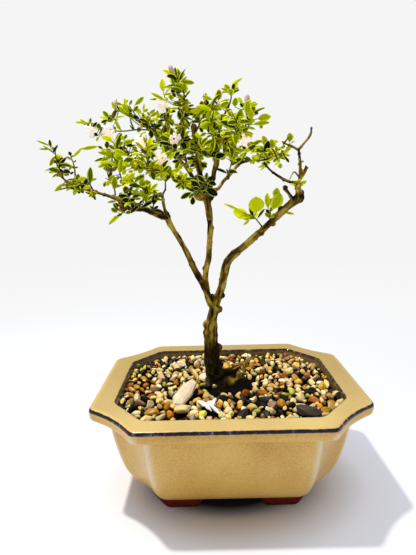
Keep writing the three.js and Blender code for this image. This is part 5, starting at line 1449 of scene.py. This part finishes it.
def splinters(look):
    """The white stone: a spray of thin crystals that have grown through one another."""
    bm = bmesh.new()
    layer = bm.verts.layers.float.new("tone")
    for k, (u_foot, v_foot, u_tip, v_tip, breadth, rise) in enumerate(SPLINTERS):
        foot = spot(u_foot, v_foot, GRAVEL_TOP + rise[0])
        tip = spot(u_tip, v_tip, GRAVEL_TOP + rise[1])
        verts = bmesh.ops.create_icosphere(bm, subdivisions=2, radius=1)["verts"]
        for v in verts:
            v.co *= 1 + 0.35 * noise.noise(v.co * 1.6 + Vector((k * 5, 0, 0)))
            v[layer] = 0.7
        half = (breadth / 2, breadth / 2.6, (tip - foot).length / 2)
        place = standing(foot.lerp(tip, 0.5), tip - foot) @ Matrix.Diagonal((*half, 1))
        bmesh.ops.transform(bm, matrix=place, verts=verts)
    return placed("white_splinters", bm, [look], ["white_stone"], smooth=False)


# ---------------------------------------------------------------- shoots
# A leaf's outline: how far along it, and how broad there.
LEAF_ROWS = [
    (0, 0.08), (0.09, 0.16), (0.22, 0.6), (0.4, 0.94), (0.58, 1), (0.77, 0.84), (0.92, 0.48), (1, 0.06),
]
LEAF_THICK = 0.22
LEAF_HALVES = 2  # faces from the midrib to the margin
REACH = 16  # how far from its stem a shoot's leaves may stand on the wood
OWN_STEM = {"heart"}  # shoots that stand out in front of the wood, with all their leaves near the tip
PIXEL = 0.68  # what a pixel of breadth measures on a leaf that is turned a little from the eye


def blade(bm, chart, layer, base, head, normal, length, width, tone, rng, curl=1.0):
    """One leaf: a strip of faces from its stalk to its tip, folded at the midrib and arched."""
    rows = len(LEAF_ROWS)
    known = set(bm.faces)
    verts = bmesh.ops.create_grid(
        bm, x_segments=2 * LEAF_HALVES, y_segments=rows - 1, size=0.5, calc_uvs=False
    )["verts"]
    fold = rng.uniform(0.12, 0.5)
    arch = rng.uniform(-0.1, 0.9) * curl
    twist = rng.uniform(-0.35, 0.35) * curl
    y = head.normalized()
    x = y.cross(normal).normalized()
    z = x.cross(y)
    stand = Matrix((x, y, z)).transposed().to_4x4()
    stand.translation = base
    place = {}
    for v in verts:
        across, row = v.co.x * 2, round((v.co.y + 0.5) * (rows - 1))
        run, broad = LEAF_ROWS[row]
        half = broad * width / 2
        angle = arch * run
        lean = twist * run
        lift = abs(across) * half * fold
        side = across * half
        reach = length * (math.sin(angle) / arch if abs(arch) > 0.01 else run)
        drop = -length * ((1 - math.cos(angle)) / arch if abs(arch) > 0.01 else 0)
        place[v] = ((across + 1) / 2, run)
        turned = side * math.cos(lean) - lift * math.sin(lean)
        v.co = stand @ Vector((turned, reach, drop + lift + side * math.sin(lean)))
        v[layer] = tone
    for face in {f for v in verts for f in v.link_faces} - known:
        for loop in face.loops:
            loop[chart].uv = place[loop.vert]


def leaf_places(route, pairs, length, seed):
    """Where a shoot's leaves stand: pairs set crosswise along the stem, the last two at its tip."""
    places = even_places(route, 0.25)
    frames = frames_along(places)
    for pair in range(pairs):
        share = pair / (pairs - 1)
        u = mix(PAIRS["first"], PAIRS["last"], share)
        k = round(u * (len(places) - 1))
        base, tangent = places[k][1], frames[k][0]
        across = UP.cross(tangent)
        if across.length_squared < 0.05:
            across = Vector((1, 0, 0))
        across.normalize()
        for side in (0, 1):
            n = seed * 97 + pair * 11 + side * 5
            twist = side * math.pi + pair * math.pi / 2 + (scatter(n) - 0.5) * PAIRS["twist"]
            out = Quaternion(tangent, twist) @ across
            lean = mix(*PAIRS["lean"], share) + (scatter(n + 1) - 0.5) * PAIRS["lean_spread"]
            fullest = 0.66 + 0.37 * math.sin(math.pi * (0.15 + 0.7 * u))  # largest at mid-shoot
            size = length * fullest * (1 + (scatter(n + 2) - 0.5) * PAIRS["size"])
            yield base, out + lean * tangent, tangent - lean * out, size, share


def tuft(bm, chart, layer, at, out, size, tone, rng):
    """A knot of small leaves on old wood, opening round a direction."""
    side = out.orthogonal().normalized()
    cross = out.cross(side)
    count = rng.randint(4, 7)
    start = rng.uniform(0, math.pi)
    for k in range(count):
        angle = start + 2 * math.pi * k / count + rng.uniform(-0.35, 0.35)
        aside = math.cos(angle) * side + math.sin(angle) * cross
        head = out * rng.uniform(0.15, 1.1) + aside
        length = size * rng.uniform(0.65, 1.2)
        own = min(max(tone + rng.uniform(-0.4, 0.35), 0), 1)
        width = length * rng.uniform(0.38, 0.55)
        blade(bm, chart, layer, at, head, out - aside * 0.6, length, width, own, rng)


def tufts_of(name, bm, chart, layer, rng):
    """The knots of leaves on the limb that is counted with a shoot."""
    for limb_name, (owner, first, last, gap, tone) in TUFTS.items():
        if owner != name:
            continue
        route, radii = LIMBS[limb_name]
        places = even_places(route, gap)
        for (place, centre), (head, side, cross) in zip(places, frames_along(places)):
            if not first <= place / (len(route) - 1) <= last:
                continue
            for _ in range(rng.randint(1, 2)):
                angle = rng.uniform(0, 2 * math.pi)
                out = math.cos(angle) * side + math.sin(angle) * cross + head * rng.uniform(0, 0.7)
                out = (out.normalized() + UP * 0.35).normalized()
                at = centre + out * (min(radii) + 0.1)
                tuft(bm, chart, layer, at, out, rng.uniform(3.8, 7.2), tone, rng)


def shoot(name, seed, leaf, stem):
    route, pairs, length, tone, aspect = SHOOTS[name]
    depth, spray = SPRAYS.get(name, (0, []))
    rng = random.Random(seed)
    bm = bmesh.new()
    chart = bm.loops.layers.uv.new("blade")
    layer = bm.verts.layers.float.new("tone")
    for base, head, normal, size, share in leaf_places(route, pairs, length, seed):
        kept = rng.random() < FILL.get(name, USUAL_FILL)
        own = min(max(tone + 0.35 * (share - 0.5) + rng.uniform(-0.5, 0.3), 0), 1)
        if kept:
            width = size * aspect * rng.uniform(0.9, 1.2)
            blade(bm, chart, layer, base, head, normal, size, width, own, rng)
        if kept and rng.random() < 0.7:  # a small leaf in its axil
            tilt = Quaternion(head.normalized(), rng.uniform(-1, 1)) @ normal
            up = (head.normalized() + normal.normalized() * rng.uniform(0.4, 1.4)).normalized()
            small = size * rng.uniform(0.4, 0.62)
            blade(bm, chart, layer, base, up, tilt, small, small * aspect, min(own + 0.15, 1), rng)
    stalks = []
    near = course(route)
    if name in OWN_STEM:
        near = near[len(near) // 2:]
    else:
        near += [p for p in WOOD_COURSE if min((p - Vector(q)).length for q in route) < REACH]
    for foot_u, foot_v, tip_u, tip_v, breadth, own in spray:
        foot, core = beside(near, foot_u, foot_v, depth)
        eye = (CAMERA["at"] - foot).normalized()
        foot += eye * rng.uniform(-1.6, 1.6)
        tip = sight(tip_u, tip_v, foot.y)
        tip += (CAMERA["at"] - tip).normalized() * (tip - foot).length * rng.uniform(-0.45, 0.45)
        facing = eye + Vector((rng.uniform(-0.5, 0.5), 0, rng.uniform(-0.2, 0.7)))
        length = (tip - foot).length
        blade(bm, chart, layer, foot, tip - foot, facing, length, breadth * PIXEL, own, rng, curl=0.4)
        if (foot - core).length > 0.3:
            stalks.append((core, foot))
    tufts_of(name, bm, chart, layer, rng)
    bmesh.ops.recalc_face_normals(bm, faces=bm.faces[:])
    bmesh.ops.solidify(bm, geom=bm.faces[:], thickness=LEAF_THICK)
    green = set(bm.faces)
    radii = [mix(*STEM_RADII, k / (len(route) - 1)) for k in range(len(route))]
    twigs = [limb(bm, route, radii, 7, 1.5)]
    for core, foot in stalks:
        sag = UP * -0.12 * (foot - core).length
        twigs.append(limb(bm, [core, core.lerp(foot, 0.5) + sag, foot], [0.34, 0.26, 0.2], 5, 1.5))
    for loops in twigs:
        for k, loop in enumerate(loops):
            for v in loop:
                v[layer] = k / (len(loops) - 1)
    for face in bm.faces:
        if face not in green:
            face.material_index = 1
    return placed("shoot_" + name, bm, [leaf, stem], ["leaves_" + name])


# ---------------------------------------------------------------- flowers and buds
def standing(at, to):
    """A matrix that stands a shape on a point, with its own +Z along a direction."""
    return Matrix.Translation(at) @ UP.rotation_difference(Vector(to)).to_matrix().to_4x4()


def flower(name, at, to, size, white, green, nodes):
    """A funnel with a flat face of five frilled lobes, its calyx and five anthers."""
    rng = random.Random(len(name) * 7 + int(size * 100))
    across = FLOWER["across"] * size / 2
    long = FLOWER["length"] * size
    lobes, count = FLOWER["lobes"], 60
    bm = bmesh.new()
    layer = bm.verts.layers.float.new("tone")
    narrow, throat = FLOWER["tube"], FLOWER["throat"]
    tube = [(narrow, 0.3), (narrow * 1.05, long * 0.35), (throat * 0.8, long * 0.66), (throat, long * 0.82)]
    lobe_steps = 6
    turns = [2 * math.pi * k / count for k in range(count)]
    waves = [rng.uniform(-0.5, 0.4) for _ in range(lobes)]
    spans = [rng.uniform(0.72, 1.1) for _ in range(lobes)]
    rings = [[Vector((r * size * math.cos(a), r * size * math.sin(a), z)) for a in turns] for r, z in tube]
    for step in range(1, lobe_steps + 1):
        s = step / lobe_steps
        ring = []
        for a in turns:
            own = a * lobes / (2 * math.pi)
            centred = abs((own % 1) - 0.5) * 2  # 0 in the middle of a lobe, 1 between two
            full = (1 - centred ** 2.6) ** 0.5
            frill = 0.06 * math.cos(2 * math.pi * own * 3) * full
            span = across * mix(1.0, spans[int(own) % lobes], full)
            edge = span * (FLOWER["notch"] + (1 - FLOWER["notch"]) * full + frill)
            reach = throat * size + (edge - throat * size) * s
            arch = long * (0.82 + 0.2 * math.sin(s * 1.9)) + waves[int(own) % lobes] * s * s * 3 * size
            arch += 0.35 * size * s * math.cos(2 * math.pi * own * 2) - 0.9 * size * s * s * centred
            ring.append(Vector((reach * math.cos(a), reach * math.sin(a), arch)))
        rings.append(ring)
    loops = skin(bm, rings, capped=False)
    total = len(loops)
    for k, loop in enumerate(loops):
        for v in loop:
            v[layer] = min(max((k - 2) / (total - 3), 0), 1) * 0.9
    bmesh.ops.solidify(bm, geom=bm.faces[:], thickness=0.18)
    petals = set(bm.faces)
    for k in range(lobes):
        angle = 2 * math.pi * (k + 0.5) / lobes
        anther = Vector((math.cos(angle), math.sin(angle), 0)) * 0.75 * size + Vector((0, 0, long * 0.86))
        made = bmesh.ops.create_uvsphere(
            bm, u_segments=6, v_segments=4, radius=0.2 * size,
            matrix=Matrix.Translation(anther) @ Matrix.Diagonal((1, 1, 2.6, 1)),
        )["verts"]
        for v in made:
            v[layer] = 0.22
    anthers = set(bm.faces) - petals
    cup = [(0.4, -0.1), (1.15, 0.2), (1.25, 1.1), (1.0, 1.7)]
    skin(bm, [[Vector((r * math.cos(a), r * math.sin(a), z)) * size for a in turns[::6]] for r, z in cup])
    for face in bm.faces:
        if face not in petals and face not in anthers:
            face.material_index = 1
    bmesh.ops.transform(bm, matrix=standing(at, to), verts=bm.verts)
    return placed("blossom_" + name, bm, [white, green], nodes)


def bud(name, at, to, length, rose, green):
    """A furled bud: a spindle with five soft twisted ribs, in its calyx."""
    bm = bmesh.new()
    layer = bm.verts.layers.float.new("tone")
    profile = [(0.35, 0.05), (0.6, 0.2), (0.85, 0.42), (1.0, 0.66), (0.86, 0.84), (0.5, 0.96), (0.12, 1.0)]
    radius, count = 1.45, 20
    rings = []
    for r, share in profile:
        ring = []
        for k in range(count):
            a = 2 * math.pi * k / count
            rib = 1 + 0.09 * math.cos(5 * (a + share * 1.2))
            reach = r * radius * rib
            ring.append(Vector((reach * math.cos(a), reach * math.sin(a), length * share)))
        rings.append(ring)
    loops = skin(bm, rings)
    for (_, share), loop in zip(profile, loops):
        for v in loop:
            v[layer] = share
    spindle = set(bm.faces)
    cup = [(0.3, -0.4), (0.75, 0.1), (0.85, 0.9), (0.7, 1.3)]
    turns = [2 * math.pi * k / 10 for k in range(10)]
    skin(bm, [[Vector((r * math.cos(a), r * math.sin(a), z)) for a in turns] for r, z in cup])
    for face in bm.faces:
        if face not in spindle:
            face.material_index = 1
    bmesh.ops.transform(bm, matrix=standing(at, to), verts=bm.verts)
    return placed("furled_bud_" + name, bm, [rose, green], ["bud_" + name])


# ---------------------------------------------------------------- the part
glaze, clay = glazed_stoneware(), bare_clay()
pot(glaze, clay)
wood(bark())
soil = potting_soil()
soil_bed(soil)
gravel()
shard(stone_finish("pale flint shard", 0xC0AE88, 0xEADDC2, 0.4))
feature_stone("cream_stone", stone_finish("golden quartz", 0xC08E2E, 0xF8E6A8, 0.42), 8)
splinters(stone_finish("white crystal", 0xE0DAD0, 0xFEFCF8, 0.35))
feature_stone("dark_stone", stone_finish("dark ironstone", 0x1A1210, 0x54423A, 0.6), 8)

leaf, stem = variegated_leaf(), green_stem()
for seed, name in enumerate(SHOOTS, start=1):
    shoot(name, seed, leaf, stem)
white, rose = petal(), closed_petal()
for name, (at, to, size) in FLOWERS.items():
    flower(name, at, to, size, white, leaf, ["flower_" + name])
for name, (at, to, length) in BUDS.items():
    bud(name, at, to, length, rose, leaf)

plastic = screen_mesh()
for name, look in (("soil", soil), ("drain_screen_left", plastic), ("drain_screen_right", plastic)):
    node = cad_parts[name]
    node.data.materials.clear()
    node.data.materials.append(look)


# ---------------------------------------------------------------- floor, light and camera
def studio_floor():
    """A plain pale floor that glows as painted light, with a painted shadow round the pot's feet, and fades
    into the background.
    """
    bm = bmesh.new()
    bmesh.ops.create_grid(bm, x_segments=1, y_segments=1, size=6)
    mesh = bpy.data.meshes.new("studio_floor")
    bm.to_mesh(mesh)
    bm.free()
    made = finish("white opal table")
    place = own_place(made)
    away = add(made, "ShaderNodeVectorMath", {0: place}, operation="LENGTH").outputs["Value"]
    fade = ranged(made, away, 0.2, 0.5, 0.0, 1.0)
    # Painted shadow: round the pot's feet the floor's glow is dimmed, and its paper is darkened under the
    # pot.
    wide, deep = FLOOR_SHADE["wide"], FLOOR_SHADE["deep"]
    shift = (-FLOOR_SHADE["x"] / wide, -FLOOR_SHADE["y"] / deep, 0)
    scaled = {0: place, 1: (1 / wide, 1 / deep, 0), 2: shift}
    oval = add(made, "ShaderNodeVectorMath", scaled, operation="MULTIPLY_ADD").outputs[0]
    clear = add(made, "ShaderNodeVectorMath", {0: oval}, operation="LENGTH").outputs["Value"]
    paper_and_painted_shadow = shades(
        made, clear,
        (0.3, 0x3E3836), (0.42, 0xDCDBDA), (0.5, 0xD4D3D3),
        (0.6, 0xC2C2C2), (0.75, 0xB1B1B1), (1.0, 0xA9A9A9),
    )
    near = shades(
        made, clear,
        (0.36, 0x000000), (0.42, 0x241F1E), (0.5, 0x565050),
        (0.6, 0x848389), (0.75, 0xAEB1BA), (1.0, 0xB9BECA),
    )
    colour = blend(made, fade, paper_and_painted_shadow, 0x000000)
    far = shades(made, away, (0.5, 0xF9F9F9), (1.0, BACKGROUND))
    glow_and_painted_shadow = blend(made, fade, near, far)
    closed(made, colour, 0.95, 1.5, Specular_IOR_Level=0.0, Emission_Color=glow_and_painted_shadow, Emission_Strength=1.0)
    mesh.materials.append(made)
    floor = bpy.data.objects.new("studio_floor", mesh)
    bpy.context.scene.collection.objects.link(floor)
    floor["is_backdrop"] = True


def studio_world():
    """A plain background, with a softer fill light than it looks bright."""
    world = bpy.data.worlds.new("studio white")
    bpy.context.scene.world = world
    world.use_nodes = True
    world.node_tree.nodes.clear()
    seen = add(world, "ShaderNodeBackground", {"Color": srgb(BACKGROUND), "Strength": 1.0})
    fill = add(world, "ShaderNodeBackground", {"Color": srgb(BACKGROUND), "Strength": FILL_LIGHT})
    path = add(world, "ShaderNodeLightPath")
    both = add(
        world, "ShaderNodeMixShader",
        {0: path.outputs["Is Camera Ray"], 1: fill.outputs[0], 2: seen.outputs[0]},
    )
    add(world, "ShaderNodeOutputWorld", {"Surface": both.outputs[0]})


BACKGROUND = 0xF5F5F5
FILL_LIGHT = 0.45
FLOOR_SHADE = {"x": 0.01, "y": -0.006, "wide": 0.115, "deep": 0.088}
LAMP = {"at": Vector((-342, -32, 1100)), "power": 53, "radius": 0.025}
TREE_PIECES = ("trunk_and_crown_wood", "shoot_", "blossom_", "furled_bud_")

studio_floor()
studio_world()

# A lamp for the tree and one, in the same place, for the pot, its stones and the floor, which the
# crown doesn't shade.
pieces = [thing for thing in bpy.data.objects if thing.type == "MESH" and not thing.hide_render]
for name, lit in (("tree_key", True), ("ground_key", False)):
    lamp = bpy.data.lights.new(name, "POINT")
    lamp.energy = LAMP["power"]
    lamp.shadow_soft_size = LAMP["radius"]
    lamp.color = (1.0, 0.98, 0.94)
    key = bpy.data.objects.new(name, lamp)
    key.location = POT_CENTRE + LAMP["at"] * MM
    bpy.context.scene.collection.objects.link(key)
    group = bpy.data.collections.new(name + "_lights")
    for thing in pieces:
        if thing.name.startswith(TREE_PIECES) == lit:
            group.objects.link(thing)
    key.light_linking.receiver_collection = group
    if not lit:
        key.light_linking.blocker_collection = group

camera_data = bpy.data.cameras.new("camera")
camera_data.lens = CAMERA["lens"]
camera_data.sensor_width = SENSOR
camera_data.clip_start = 0.01
camera = bpy.data.objects.new("camera", camera_data)
look = CAMERA_TURN.to_4x4()
look.translation = POT_CENTRE + CAMERA["at"] * MM
camera.matrix_world = look
bpy.context.scene.collection.objects.link(camera)
bpy.context.scene.camera = camera
bpy.context.scene.view_settings.view_transform = "Standard"

boxes = {"cad": CAD_BOX, "visual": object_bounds()}
{name: [list(corner) for corner in box] for name, box in boxes.items()}
